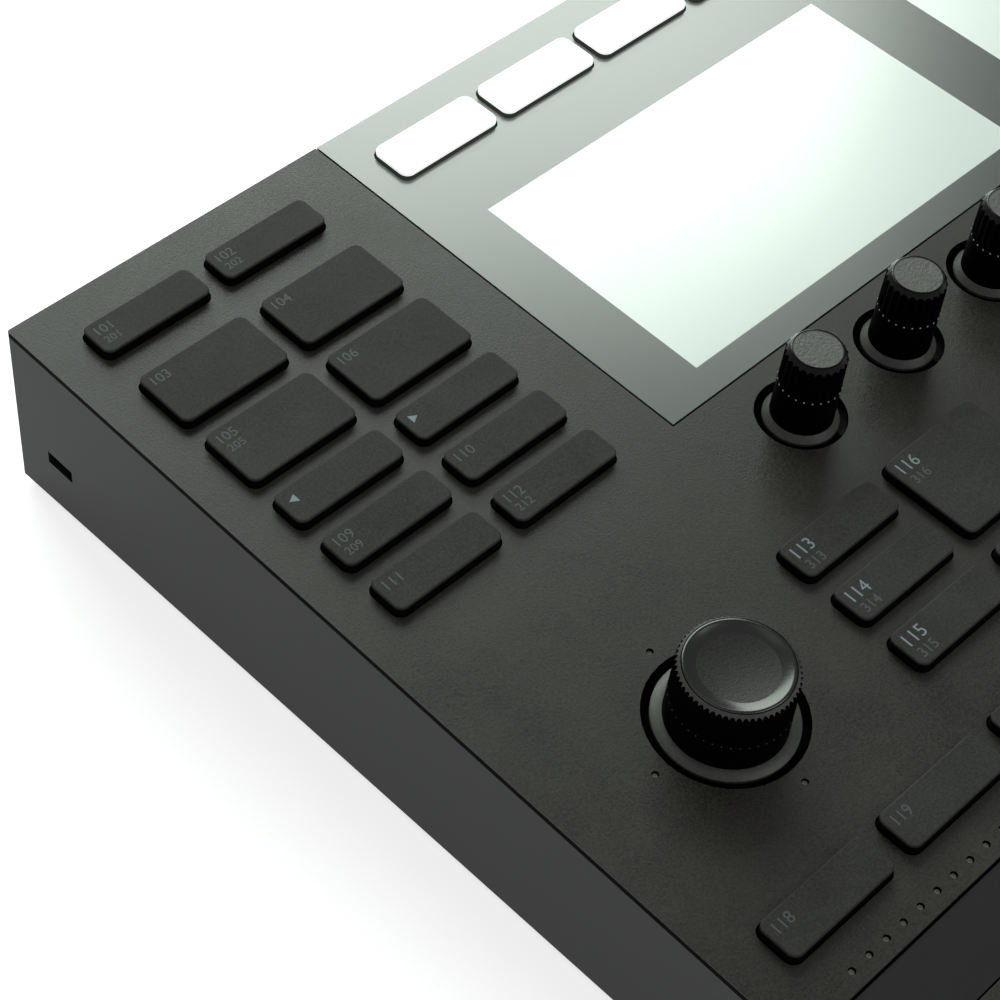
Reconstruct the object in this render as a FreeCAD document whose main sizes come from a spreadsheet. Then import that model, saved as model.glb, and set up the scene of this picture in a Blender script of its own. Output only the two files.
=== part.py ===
"""Desktop pad controller: a wedge-shaped case with a glass display panel, keys, knobs and pads.

Everything is drawn in the deck's own frame: X to the right, Y to the rear, Z square to the
deck, with Z = 0 on the deck's upper face and the origin at the deck's centre.  The deck slopes
down to the front, so each sub-part is then placed with the deck's tilt.  The base plate, its
screws and the feet are drawn in the base's frame, which lies level.
"""
import FreeCAD, Part
import math
import os
import Sketcher
from FreeCAD import Placement, Rotation, Vector

DOC = FreeCAD.newDocument("PadController")

# Driving sizes, in millimetres: alias, value, meaning.
SIZES = (
    ("left_margin", 9.0, "deck edge to the first key column"),
    ("right_margin", 9.0, "pad field to the right edge"),
    ("front_margin", 9.2, "pad field to the front edge"),
    ("rear_height", 39.4, "case height at the rear, square to the deck"),
    ("front_height", 25.6, "case height at the front, square to the deck"),
    ("corner_radius", 0.4, "upright corners of case and deck"),
    ("wall", 3.0, "case wall"),
    ("deck_thickness", 1.2, "deck plate and display glass"),
    ("seam_inset", 0.6, "depth of the shadow groove under the deck"),
    ("seam_height", 0.15, "height of the shadow groove under the deck"),
    ("base_thickness", 1.5, "steel base plate"),
    ("base_clearance", 0.3, "base plate to case wall"),
    ("foot_height", 1.6, "rubber foot below the base"),
    ("foot_radius", 9.0, "rubber foot"),
    ("foot_inset", 27.0, "foot centre from the case sides"),
    ("post_width", 9.0, "screw post, square"),
    ("screw_radius", 1.45, "case screw shank"),
    ("screw_grip", 7.5, "case screw in its post"),
    ("screw_fit", 0.05, "pilot hole around the shank"),
    ("head_radius", 2.8, "case screw head"),
    ("head_height", 0.8, "case screw head"),
    ("head_fit", 0.2, "recess around the head"),
    ("key_width", 24.2, "keys of the deck"),
    ("key_depth", 8.0, "short keys"),
    ("key_gap", 4.0, "between key columns"),
    ("tall_depth", 13.7, "tall keys"),
    ("tall_pitch", 17.85, "rows of tall keys"),
    ("row_pitch", 12.1, "rows of short keys"),
    ("key_rise", 2.0, "key top above the deck"),
    ("key_fit", 0.35, "key in its opening"),
    ("key_corner", 1.7, "corners of a key, seen from above"),
    ("key_edge", 0.35, "rounding of a key's upper edge"),
    ("key_travel", 0.8, "stroke of a key"),
    ("flange_width", 0.9, "retaining flange around a key"),
    ("flange_thickness", 1.0, "retaining flange of a key"),
    ("rest_gap", 0.3, "clearance between moving pieces and their stops"),
    ("stem_width", 4.0, "stem between key and switch"),
    ("first_row", 13.7, "rear edge to the first row of keys"),
    ("second_row", 32.25, "rear edge to the first tall row"),
    ("fourth_row", 65.0, "rear edge to the row of arrow keys"),
    ("encoder_row", 129.6, "rear edge to the keys beside the encoder"),
    ("strip_row", 174.6, "rear edge to the keys above the touch strip"),
    ("light_row", 184.85, "rear edge to the row of lights"),
    ("strip_line", 194.2, "rear edge to the touch strip"),
    ("group_row", 216.5, "rear edge to the group keys"),
    ("transport_row", 267.1, "rear edge to the transport keys"),
    ("glass_margin", 13.1, "second key column to the glass"),
    ("glass_depth", 94.0, "glass, rear edge to its front edge"),
    ("glass_gap", 0.4, "seam between glass and deck"),
    ("display_inset", 60.7, "left end of the glass to the first display centre"),
    ("display_pitch", 111.5, "between display centres"),
    ("display_line", 60.7, "rear edge to the display centres"),
    ("module_width", 105.5, "display module"),
    ("module_depth", 64.0, "display module"),
    ("module_thickness", 4.0, "display module"),
    ("tray_lip", 3.5, "display frame under the deck's edge"),
    ("tray_fit", 0.4, "module in the display frame"),
    ("display_row", 13.3, "rear edge to the keys on the glass"),
    ("display_key_width", 25.2, "keys on the glass"),
    ("display_key_depth", 9.8, "keys on the glass"),
    ("display_key_rise", 1.5, "keys on the glass above it"),
    ("display_key_corner", 1.9, "corners of the keys on the glass"),
    ("display_key_pitch", 27.6, "keys on the glass, and knobs"),
    ("column_gap", 11.5, "fourth key column to the fifth"),
    ("pad_clear", 6.3, "fifth key column to the pads"),
    ("pad_size", 36.0, "rubber pad, square"),
    ("pad_spacing", 2.4, "between pads"),
    ("pad_line", 140.6, "rear edge to the pad field"),
    ("pad_rise", 2.6, "pad top above the deck"),
    ("pad_fit", 0.4, "pad in its opening"),
    ("pad_corner", 1.5, "corners of a pad"),
    ("mat_thickness", 2.0, "rubber sheet that joins the pads"),
    ("mat_border", 1.6, "rubber sheet around the pads"),
    ("pad_board_depth", 7.0, "deck top to the pad sensor board"),
    ("board_depth", 12.0, "deck top to the control board"),
    ("board_thickness", 1.6, "circuit boards"),
    ("board_clearance", 2.0, "control board to case wall"),
    ("spacer_radius", 3.0, "spacer between the boards"),
    ("switch_width", 6.0, "key switch body"),
    ("switch_height", 2.6, "key switch body"),
    ("plunger_radius", 1.6, "key switch plunger"),
    ("plunger_height", 0.9, "key switch plunger"),
    ("strip_depth", 12.2, "touch strip, front to rear"),
    ("strip_drop", 0.45, "touch strip below the deck face"),
    ("strip_bevel", 0.4, "bevel round the touch strip's opening"),
    ("strip_fit", 0.1, "touch strip in its opening"),
    ("strip_flange", 1.2, "touch strip flange under the deck"),
    ("light_radius", 0.5, "light pipe"),
    ("light_drop", 0.5, "light pipe below the deck face"),
    ("light_fit", 0.15, "light pipe in its hole"),
    ("light_pitch", 4.08, "lights of the strip"),
    ("light_start", 6.1, "first key column's edge to the first light"),
    ("ring_light_radius", 16.75, "lights around the encoder"),
    ("knob_line", 107.3, "rear edge to the knobs"),
    ("knob_foot_radius", 5.85, "small knob body at its skirt"),
    ("knob_radius", 5.6, "small knob body under its bevel"),
    ("knob_top_radius", 4.7, "small knob top face"),
    ("knob_rise", 17.0, "small knob above the deck"),
    ("knob_bevel", 1.2, "height of the small knob's upper bevel"),
    ("knob_skirt_radius", 7.2, "skirt of the small knob"),
    ("knob_skirt_slope", 1.0, "height of the small knob's sloping skirt"),
    ("knob_hole_radius", 8.5, "deck hole of the small knob"),
    ("skirt_drop", 0.3, "edge of the knob skirts below the deck face"),
    ("skirt_thickness", 0.8, "edge of the knob skirts"),
    ("spindle_radius", 3.0, "knob spindles"),
    ("spindle_fit", 0.05, "spindle in its bush"),
    ("spindle_reach", 9.0, "small knob spindle below the deck face"),
    ("can_width", 12.0, "rotary encoder can"),
    ("can_height", 6.5, "rotary encoder can"),
    ("bush_radius", 4.2, "rotary encoder bush"),
    ("bush_top", 1.6, "rotary encoder bush below the deck face"),
    ("dial_hole_radius", 13.9, "deck hole of the large encoder"),
    ("dial_skirt_radius", 12.35, "skirt of the large encoder"),
    ("dial_skirt_slope", 0.45, "height of the large encoder's sloping skirt"),
    ("dial_foot_radius", 10.4, "large encoder body at the skirt"),
    ("dial_shoulder_radius", 10.1, "large encoder body under its rim"),
    ("dial_rim_radius", 9.2, "large encoder rim"),
    ("dial_bevel", 0.9, "height of the bevel outside the large encoder's rim"),
    ("dial_rim_width", 0.6, "large encoder rim"),
    ("dial_dish_radius", 6.7, "floor of the large encoder's dish"),
    ("dial_rise", 14.0, "large encoder above the deck"),
    ("dial_dish_depth", 0.65, "dish in the large encoder"),
    ("dial_floor", 0.8, "large encoder above its shaft bore"),
    ("push_travel", 0.5, "stroke of the large encoder"),
    ("collar_radius", 4.4, "collar of the encoder shaft"),
    ("collar_height", 0.7, "collar of the encoder shaft"),
    ("pivot_depth", 6.5, "tilt axes below the deck face"),
    ("pivot_radius", 1.2, "tilt pins"),
    ("pivot_fit", 0.05, "tilt pin in its bore"),
    ("gimbal_height", 4.0, "tilt ring and block"),
    ("gimbal_wall", 3.0, "tilt ring"),
    ("gimbal_gap", 1.5, "between tilt pieces"),
    ("block_width", 13.0, "tilt block, square"),
    ("housing_wall", 1.5, "encoder housing"),
    ("housing_floor", 1.2, "encoder housing"),
    ("housing_drop", 3.4, "encoder housing below the deck face"),
    ("panel_drop", 14.5, "deck top to the rear panel"),
    ("panel_height", 17.4, "rear panel"),
    ("panel_width", 282.0, "rear panel"),
    ("panel_fit", 0.2, "rear panel in its window"),
    ("panel_flange", 2.5, "flange behind the window's edge"),
    ("panel_flange_thickness", 1.5, "flange of the rear panel"),
    ("socket_proud", 0.1, "socket faces behind the rear face"),
    ("socket_fit", 0.25, "sockets in the rear panel"),
    ("socket_height", 14.0, "jack and power sockets"),
    ("jack_width", 12.0, "audio jack body"),
    ("jack_length", 20.0, "audio jack body"),
    ("jack_nose_radius", 5.6, "audio jack nose"),
    ("jack_bore_radius", 3.4, "audio jack bore"),
    ("jack_bore_depth", 21.0, "audio jack bore"),
    ("jack_pitch", 24.0, "audio jacks"),
    ("jack_start", -14.0, "first audio jack from the centre line"),
    ("midi_width", 18.0, "five-pin socket body"),
    ("midi_length", 12.0, "five-pin socket body"),
    ("midi_nose_radius", 7.4, "five-pin socket nose"),
    ("midi_groove_radius", 6.6, "five-pin socket groove"),
    ("midi_core_radius", 5.5, "five-pin socket core"),
    ("midi_groove_depth", 6.0, "five-pin socket groove"),
    ("midi_start", -66.0, "first five-pin socket from the centre line"),
    ("midi_pitch", 26.0, "five-pin sockets"),
    ("usb_line", -92.0, "data socket from the centre line"),
    ("usb_width", 12.0, "data socket shell"),
    ("usb_length", 16.0, "data socket shell"),
    ("usb_height", 11.0, "data socket nose"),
    ("usb_slot_width", 8.45, "data socket cavity"),
    ("usb_slot_height", 7.8, "data socket cavity"),
    ("usb_slot_depth", 9.0, "data socket cavity"),
    ("usb_tongue_width", 5.6, "data socket tongue"),
    ("usb_tongue_height", 3.2, "data socket tongue"),
    ("power_line", -112.0, "power socket from the centre line"),
    ("power_width", 9.0, "power socket body"),
    ("power_length", 13.0, "power socket body"),
    ("power_nose_radius", 4.4, "power socket nose"),
    ("power_bore_radius", 3.1, "power socket bore"),
    ("power_bore_depth", 9.5, "power socket bore"),
    ("power_pin_radius", 1.05, "power socket pin"),
    ("button_line", -128.0, "power button from the centre line"),
    ("button_width", 9.0, "power button"),
    ("button_height", 5.0, "power button"),
    ("button_proud", 0.5, "power button beyond the rear face"),
    ("button_travel", 1.0, "stroke of the power button"),
    ("button_stem", 2.5, "power button behind its flange"),
    ("lock_width", 7.0, "lock slot"),
    ("lock_height", 3.0, "lock slot"),
    ("lock_line", 12.5, "rear edge to the lock slot"),
    ("lock_drop", 26.7, "deck top to the lock slot"),
)

# Counts of the layout.
BLOCK_COLUMNS = 4
PAD_ROWS = 4
COLUMN_KEYS = 8
MODE_KEYS = 5
JACKS = 7
MIDI_SOCKETS = 2
LIGHT_COUNT = 25
POSTS = ((-1, -1), (0, -1), (1, -1), (-1, 0), (1, 0), (-1, 1), (1, 1))
CORNERS = ((-1, -1), (1, -1), (1, 1), (-1, 1))

SMALLEST_CUT = 0.01

SUBPARTS = []


def make_sheet():
    """Write the driving sizes into the document's spreadsheet."""
    sheet = DOC.addObject("Spreadsheet::Sheet", "Sizes")
    for row, (alias, value, meaning) in enumerate(SIZES, start=1):
        sheet.set(f"A{row}", meaning)
        sheet.set(f"B{row}", str(value))
        sheet.setAlias(f"B{row}", alias)
    DOC.recompute()
    return sheet


SHEET = make_sheet()


class Names:
    """Gives each size as an expression, so that ``S.wall`` reads as the sheet's cell."""

    def __getattr__(self, alias):
        return "Sizes." + alias


S = Names()


def value_of(expression):
    """Number that an expression gives now."""
    number = SHEET.evalExpression(expression)
    return float(getattr(number, "Value", number))


def plus(*terms):
    """Sum of expressions."""
    return "(" + " + ".join(f"({term})" for term in terms) + ")"


def minus(first, *terms):
    """First expression less the others."""
    return "(" + " - ".join(f"({term})" for term in (first,) + terms) + ")"


def times(factor, expression):
    """Expression multiplied by a number or another expression."""
    return f"(({factor}) * ({expression}))"


def half(expression):
    """Half of an expression."""
    return f"(({expression}) / 2)"


# Layout of the deck, worked out from the driving sizes.
COLUMN_PITCH = plus(S.key_width, S.key_gap)
BLOCK_WIDTH = minus(times(BLOCK_COLUMNS, COLUMN_PITCH), S.key_gap)
PAD_PITCH = plus(S.pad_size, S.pad_spacing)
PAD_FIELD = minus(times(PAD_ROWS, PAD_PITCH), S.pad_spacing)
WIDTH = plus(S.left_margin, BLOCK_WIDTH, S.column_gap, S.key_width, S.pad_clear, PAD_FIELD,
             S.right_margin)
DEPTH = plus(S.pad_line, PAD_FIELD, S.front_margin)
LEFT = minus("0", half(WIDTH))
RIGHT = half(WIDTH)
REAR = half(DEPTH)
FRONT = minus("0", half(DEPTH))
TILT = f"atan(({S.rear_height} - {S.front_height}) / {DEPTH})"
MID_HEIGHT = half(plus(S.rear_height, S.front_height))
DECK_UNDER = minus("0", S.deck_thickness)
BOARD_TOP = minus("0", S.board_depth)
BOARD_UNDER = minus(BOARD_TOP, S.board_thickness)

BLOCK_LEFT = plus(LEFT, S.left_margin)
BLOCK_CENTRE = plus(BLOCK_LEFT, half(BLOCK_WIDTH))
GLASS_LEFT = plus(BLOCK_LEFT, times(2, S.key_width), S.key_gap, S.glass_margin)
GLASS_FRONT = minus(REAR, S.glass_depth)
PAD_LEFT = minus(RIGHT, S.right_margin, PAD_FIELD)
PAD_REAR = minus(REAR, S.pad_line)
PAD_FRONT = minus(PAD_REAR, PAD_FIELD)
COLUMN_X = minus(PAD_LEFT, S.pad_clear, half(S.key_width))
DISPLAYS = (plus(GLASS_LEFT, S.display_inset),
            plus(GLASS_LEFT, S.display_inset, S.display_pitch))
DISPLAY_Y = minus(REAR, S.display_line)
KNOB_Y = minus(REAR, S.knob_line)
ENCODER_X = plus(BLOCK_LEFT, S.key_width, half(S.key_gap))
ENCODER_Y = minus(REAR, S.encoder_row, S.row_pitch)


def column_x(index):
    """Centre of a key column of the left block."""
    return plus(BLOCK_LEFT, half(S.key_width), times(index, COLUMN_PITCH))


def set_back(distance):
    """Y of a line at a distance from the rear edge."""
    return minus(REAR, distance)


def family(name, x, y, width, depth, across=(1, "0"), along=(1, "0")):
    """Like pieces in a grid: the first one's rectangle, then count and whole span each way."""
    return {"name": name, "x": x, "y": y, "width": width, "depth": depth, "across": across,
            "along": along}


def member(group, column, row):
    """Family of one: the piece at a column and row of a grid."""
    x, y = group["x"], group["y"]
    if column:
        count, span = group["across"]
        x = plus(x, f"{column} * ({span}) / {count - 1}")
    if row:
        count, span = group["along"]
        y = minus(y, f"{row} * ({span}) / {count - 1}")
    return family(group["name"], x, y, group["width"], group["depth"])


def row_of_keys(name, column, line, depth, columns=1, rows=1, pitch="0"):
    """Keys in the columns of the left block, from a line at their middle."""
    return family(name, column_x(column), line, S.key_width, depth,
                  across=(columns, times(columns - 1, COLUMN_PITCH)),
                  along=(rows, times(rows - 1, pitch)))


FIRST_ROW = row_of_keys("first_row", 0, set_back(S.first_row), S.key_depth, columns=2)
TALL_ROWS = row_of_keys("tall_rows", 0, set_back(S.second_row), S.tall_depth, columns=2, rows=2,
                        pitch=S.tall_pitch)
ARROW_ROWS = row_of_keys("arrow_rows", 0, set_back(S.fourth_row), S.key_depth, columns=2, rows=3,
                         pitch=S.row_pitch)
ENCODER_KEYS = row_of_keys("encoder_rows", 2, set_back(S.encoder_row), S.key_depth, rows=3,
                           pitch=S.row_pitch)
HIGH_KEY = row_of_keys("high", 3, minus(set_back(S.encoder_row), half(S.row_pitch)),
                       plus(S.key_depth, S.row_pitch))
LOW_KEY = row_of_keys("low", 3, minus(set_back(S.encoder_row), times(2, S.row_pitch)),
                      S.key_depth)
STRIP_KEYS = row_of_keys("strip", 0, set_back(S.strip_row), S.key_depth, columns=BLOCK_COLUMNS)
GROUP_KEYS = row_of_keys("group", 0, set_back(S.group_row), S.tall_depth,
                         columns=BLOCK_COLUMNS, rows=2, pitch=S.tall_pitch)
TRANSPORT_KEYS = row_of_keys("transport", 0, set_back(S.transport_row), S.tall_depth,
                             columns=BLOCK_COLUMNS, rows=2, pitch=S.tall_pitch)
COLUMN_TOP = plus(set_back(S.encoder_row), half(S.key_depth), minus("0", half(S.tall_depth)))
COLUMN_END = plus(PAD_FRONT, half(S.tall_depth))
COLUMN_KEY_GROUP = family("column", COLUMN_X, COLUMN_TOP, S.key_width, S.tall_depth,
                          along=(COLUMN_KEYS, minus(COLUMN_TOP, COLUMN_END)))
MODE_KEY_GROUP = family("mode", plus(PAD_LEFT, half(S.key_width)), set_back(S.encoder_row),
                        S.key_width, S.key_depth,
                        across=(MODE_KEYS, minus(PAD_FIELD, S.key_width)))
PADS = family("pad", plus(PAD_LEFT, half(S.pad_size)), minus(PAD_REAR, half(S.pad_size)),
              S.pad_size, S.pad_size, across=(PAD_ROWS, minus(PAD_FIELD, S.pad_size)),
              along=(PAD_ROWS, minus(PAD_FIELD, S.pad_size)))


def display_keys(display):
    """Keys on the glass over one display."""
    first = minus(DISPLAYS[display], times(1.5, S.display_key_pitch))
    return family(f"display_{display + 1}", first, set_back(S.display_row), S.display_key_width,
                  S.display_key_depth, across=(4, times(3, S.display_key_pitch)))


DECK_KEYS = (FIRST_ROW, TALL_ROWS, ARROW_ROWS, ENCODER_KEYS, HIGH_KEY, LOW_KEY, STRIP_KEYS,
             GROUP_KEYS, TRANSPORT_KEYS, COLUMN_KEY_GROUP, MODE_KEY_GROUP)
GLASS_KEYS = (display_keys(0), display_keys(1))
KNOB_GROUPS = [family(f"knobs_{index + 1}",
                      minus(centre, times(1.5, S.display_key_pitch)), KNOB_Y, S.can_width,
                      S.can_width, across=(4, times(3, S.display_key_pitch)))
               for index, centre in enumerate(DISPLAYS)]
KNOB_PLACES = [(plus(centre, times(step, S.display_key_pitch)), KNOB_Y)
               for centre in DISPLAYS for step in (-1.5, -0.5, 0.5, 1.5)]
STRIP_PLACE = (BLOCK_CENTRE, set_back(S.strip_line), BLOCK_WIDTH, S.strip_depth)
STRIP_LIGHTS = family("strip_lights", plus(BLOCK_LEFT, S.light_start), set_back(S.light_row),
                      "0", "0", across=(LIGHT_COUNT, times(LIGHT_COUNT - 1, S.light_pitch)))
RING_LIGHT_PLACES = [(plus(ENCODER_X, times(x, S.ring_light_radius)),
                      plus(ENCODER_Y, times(y, S.ring_light_radius)))
                     for x, y in ((1, 0), (0, 1), (-1, 0), (0, -1))]


def new_body(label):
    """PartDesign body whose label names its file."""
    body = DOC.addObject("PartDesign::Body", label)
    body.Label = label
    SUBPARTS.append(body)
    return body


def on_deck(body):
    """Place a body drawn in the deck's frame with the deck's tilt."""
    body.Placement = Placement(Vector(), Rotation(Vector(1, 0, 0), value_of(TILT)))
    body.setExpression("Placement.Rotation.Angle", TILT)
    body.setExpression("Placement.Base.y", f"-{S.rear_height} * sin({TILT}) / 2")
    body.setExpression("Placement.Base.z",
                       f"{S.foot_height} + {REAR} * sin({TILT}) + {S.front_height} * cos({TILT})")
    return body


def on_base(body):
    """Place a body drawn in the level frame of the base's underside."""
    body.setExpression("Placement.Base.y",
                       f"({MID_HEIGHT} - {S.rear_height} / 2) * sin({TILT})")
    body.setExpression("Placement.Base.z", S.foot_height)
    return body


def new_sketch(body, name, plane="XY_Plane", out="0", right="0", up="0"):
    """Sketch on an origin plane, moved out along the plane's normal and within the plane."""
    sketch = body.newObject("Sketcher::SketchObject", name)
    support = [item for item in body.Origin.OriginFeatures if item.Role == plane][0]
    sketch.AttachmentSupport = [(support, "")]
    sketch.MapMode = "FlatFace"
    sketch.setExpression("AttachmentOffset.Base.x", right)
    sketch.setExpression("AttachmentOffset.Base.y", up)
    sketch.setExpression("AttachmentOffset.Base.z", out)
    return sketch


def pin_point(sketch, pending, element, position, x, y):
    """Queue the two dimensions that hold a sketch point at x, y."""
    for kind, expression in (("DistanceX", x), ("DistanceY", y)):
        constraint = Sketcher.Constraint(kind, -1, 1, element, position, value_of(expression))
        pending.append((constraint, expression))


def draw_polygon(sketch, corners):
    """Closed outline with each corner held by its own expressions."""
    points = [Vector(value_of(x), value_of(y), 0) for x, y in corners]
    first = sketch.GeometryCount
    count = len(points)
    sketch.addGeometry([Part.LineSegment(points[i], points[(i + 1) % count])
                        for i in range(count)], False)
    pending = []
    for i, (x, y) in enumerate(corners):
        joint = Sketcher.Constraint("Coincident", first + i, 2, first + (i + 1) % count, 1)
        pending.append((joint, None))
        pin_point(sketch, pending, first + i, 1, x, y)
    bind_constraints(sketch, pending)


def draw_circle(sketch, x, y, radius):
    """Circle with its centre and radius held by expressions."""
    element = sketch.addGeometry(Part.Circle(Vector(value_of(x), value_of(y), 0),
                                             Vector(0, 0, 1), value_of(radius)), False)
    pending = []
    pin_point(sketch, pending, element, 3, x, y)
    size = Sketcher.Constraint("Radius", element, value_of(radius))
    pending.append((size, radius))
    bind_constraints(sketch, pending)


def bind_constraints(sketch, pending):
    """Add queued constraints and bind those that have an expression."""
    first = sketch.ConstraintCount
    sketch.addConstraint([constraint for constraint, _ in pending])
    for index, (_, expression) in enumerate(pending):
        if expression is not None:
            sketch.setExpression(f"Constraints[{first + index}]", expression)


def rectangle(x, y, width, depth, grow="0"):
    """Corners of a rectangle about its centre, grown on every side."""
    reach_x = plus(half(width), grow)
    reach_y = plus(half(depth), grow)
    return [(plus(x, times(a, reach_x)), plus(y, times(b, reach_y))) for a, b in CORNERS]


def draw_rounded_rectangle(sketch, x, y, width, depth, grow, radius):
    """Rectangle about its centre, grown on every side, with round corners."""
    reach = (plus(half(width), grow), plus(half(depth), grow))
    near = (minus(reach[0], radius), minus(reach[1], radius))
    first = sketch.GeometryCount
    count = 2 * len(CORNERS)
    shapes, ends = [], []
    for quarter, (a, b) in enumerate(CORNERS):
        centre = Vector(value_of(plus(x, times(a, near[0]))), value_of(plus(y, times(b, near[1]))))
        side = (plus(x, times(a, reach[0])), plus(y, times(b, near[1])))
        face = (plus(x, times(a, near[0])), plus(y, times(b, reach[1])))
        ends += [side, face] if a == b else [face, side]
        turn = math.pi * (2 + quarter) / 2
        circle = Part.Circle(centre, Vector(0, 0, 1), value_of(radius))
        shapes.append(Part.ArcOfCircle(circle, turn, turn + math.pi / 2))
    points = [Vector(value_of(end_x), value_of(end_y)) for end_x, end_y in ends]
    pending = []
    for index, arc in enumerate(shapes):
        sketch.addGeometry(arc, False)
        line = (points[2 * index + 1], points[(2 * index + 2) % count])
        sketch.addGeometry(Part.LineSegment(*line), False)
        pending.append((Sketcher.Constraint("Radius", first + 2 * index, value_of(radius)), radius))
    for index in range(count):
        joint = Sketcher.Constraint("Coincident", first + index, 2, first + (index + 1) % count, 1)
        pending.append((joint, None))
    for index in range(len(CORNERS)):
        line = first + 2 * index + 1
        pin_point(sketch, pending, line, 1, *ends[2 * index + 1])
        pin_point(sketch, pending, line, 2, *ends[(2 * index + 2) % count])
    bind_constraints(sketch, pending)


def pad(body, sketch, length, reverse=False):
    """Pad a sketch."""
    feature = body.newObject("PartDesign::Pad", sketch.Name + "Pad")
    feature.Profile = sketch
    feature.setExpression("Length", length)
    feature.Reversed = reverse
    feature.Refine = False
    sketch.Visibility = False
    return feature


def pocket(body, sketch, length, reverse=False):
    """Cut a sketch into a body, against the sketch's normal unless reversed."""
    feature = body.newObject("PartDesign::Pocket", sketch.Name + "Cut")
    feature.Profile = sketch
    feature.setExpression("Length", length)
    feature.Reversed = reverse
    feature.Refine = False
    sketch.Visibility = False
    return feature


def raise_rectangles(body, name, places, bottom, top, grow="0"):
    """Pad rectangles from one height of the frame to another."""
    sketch = new_sketch(body, name, out=bottom)
    for place in places:
        draw_polygon(sketch, rectangle(*place, grow=grow))
    return pad(body, sketch, minus(top, bottom))


def raise_circles(body, name, places, radius, bottom, top):
    """Pad circles from one height of the frame to another."""
    sketch = new_sketch(body, name, out=bottom)
    for x, y in places:
        draw_circle(sketch, x, y, radius)
    return pad(body, sketch, minus(top, bottom))


def repeat(body, sketch, feature, group):
    """Repeat a feature over the grid of a family."""
    across, width = group["across"]
    along, length = group["along"]
    if across == 1 and along == 1:
        return feature
    pattern = body.newObject("PartDesign::LinearPattern", sketch.Name + "Grid")
    pattern.Originals = [feature]
    pattern.Direction = (sketch, ["H_Axis"])
    pattern.Occurrences = across
    pattern.Direction2 = (sketch, ["V_Axis"])
    pattern.Reversed2 = True
    pattern.Occurrences2 = along
    pattern.Refine = False
    if across > 1:
        pattern.setExpression("Length", width)
    if along > 1:
        pattern.setExpression("Length2", length)
    body.Tip = pattern
    return pattern


def box_of(group):
    """Rectangle of a family's first piece."""
    return group["x"], group["y"], group["width"], group["depth"]


def raise_family(body, name, group, bottom, top, grow="0", square=None):
    """Pad a family's rectangles, or a square on each, between two heights."""
    x, y, width, depth = box_of(group)
    sketch = new_sketch(body, name, out=bottom)
    draw_polygon(sketch, rectangle(x, y, square or width, square or depth, grow=grow))
    return repeat(body, sketch, pad(body, sketch, minus(top, bottom)), group)


def raise_rounds(body, name, group, radius, bottom, top):
    """Pad a circle on each piece of a family."""
    sketch = new_sketch(body, name, out=bottom)
    draw_circle(sketch, group["x"], group["y"], radius)
    return repeat(body, sketch, pad(body, sketch, minus(top, bottom)), group)


def sink_family(body, name, group, top, depth, grow="0", corner=None):
    """Cut a family's rectangles downwards from a height, with round corners if given."""
    sketch = new_sketch(body, name, out=top)
    if corner is None:
        draw_polygon(sketch, rectangle(*box_of(group), grow=grow))
    else:
        draw_rounded_rectangle(sketch, *box_of(group), grow, corner)
    return repeat(body, sketch, pocket(body, sketch, depth), group)


def sink_rounds(body, name, group, radius, top, depth):
    """Cut a circle downwards at each piece of a family."""
    sketch = new_sketch(body, name, out=top)
    draw_circle(sketch, group["x"], group["y"], radius)
    return repeat(body, sketch, pocket(body, sketch, depth), group)


def sink_rectangles(body, name, places, top, depth, grow="0"):
    """Cut rectangles downwards from a height of the frame."""
    sketch = new_sketch(body, name, out=top)
    for place in places:
        draw_polygon(sketch, rectangle(*place, grow=grow))
    return pocket(body, sketch, depth)


def sink_circles(body, name, places, radius, top, depth):
    """Cut circles downwards from a height of the frame."""
    sketch = new_sketch(body, name, out=top)
    for x, y in places:
        draw_circle(sketch, x, y, radius)
    return pocket(body, sketch, depth)


def round_edges(body, feature, radius, wanted, name):
    """Fillet the edges of a feature that a test picks out."""
    DOC.recompute()
    edges = [f"Edge{index}" for index, edge in enumerate(feature.Shape.Edges, start=1)
             if wanted(edge)]
    fillet = body.newObject("PartDesign::Fillet", name)
    fillet.Base = (feature, edges)
    fillet.setExpression("Radius", radius)
    return fillet


def bevel_edges(body, feature, size, wanted, name):
    """Bevel the edges of a feature that a test picks out."""
    DOC.recompute()
    edges = [f"Edge{index}" for index, edge in enumerate(feature.Shape.Edges, start=1)
             if wanted(edge)]
    bevel = body.newObject("PartDesign::Chamfer", name)
    bevel.Base = (feature, edges)
    bevel.setExpression("Size", size)
    return bevel


def is_upright(edge):
    """True for a straight edge along Z."""
    start, end = edge.Vertexes[0].Point, edge.Vertexes[-1].Point
    return (end - start).Length > 0 and abs((end - start).normalize().z) > 0.999


def edge_at(height):
    """Test for edges that lie level at a height."""
    def wanted(edge):
        return all(abs(vertex.Z - height) < 1e-6 for vertex in edge.Vertexes)
    return wanted


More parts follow.
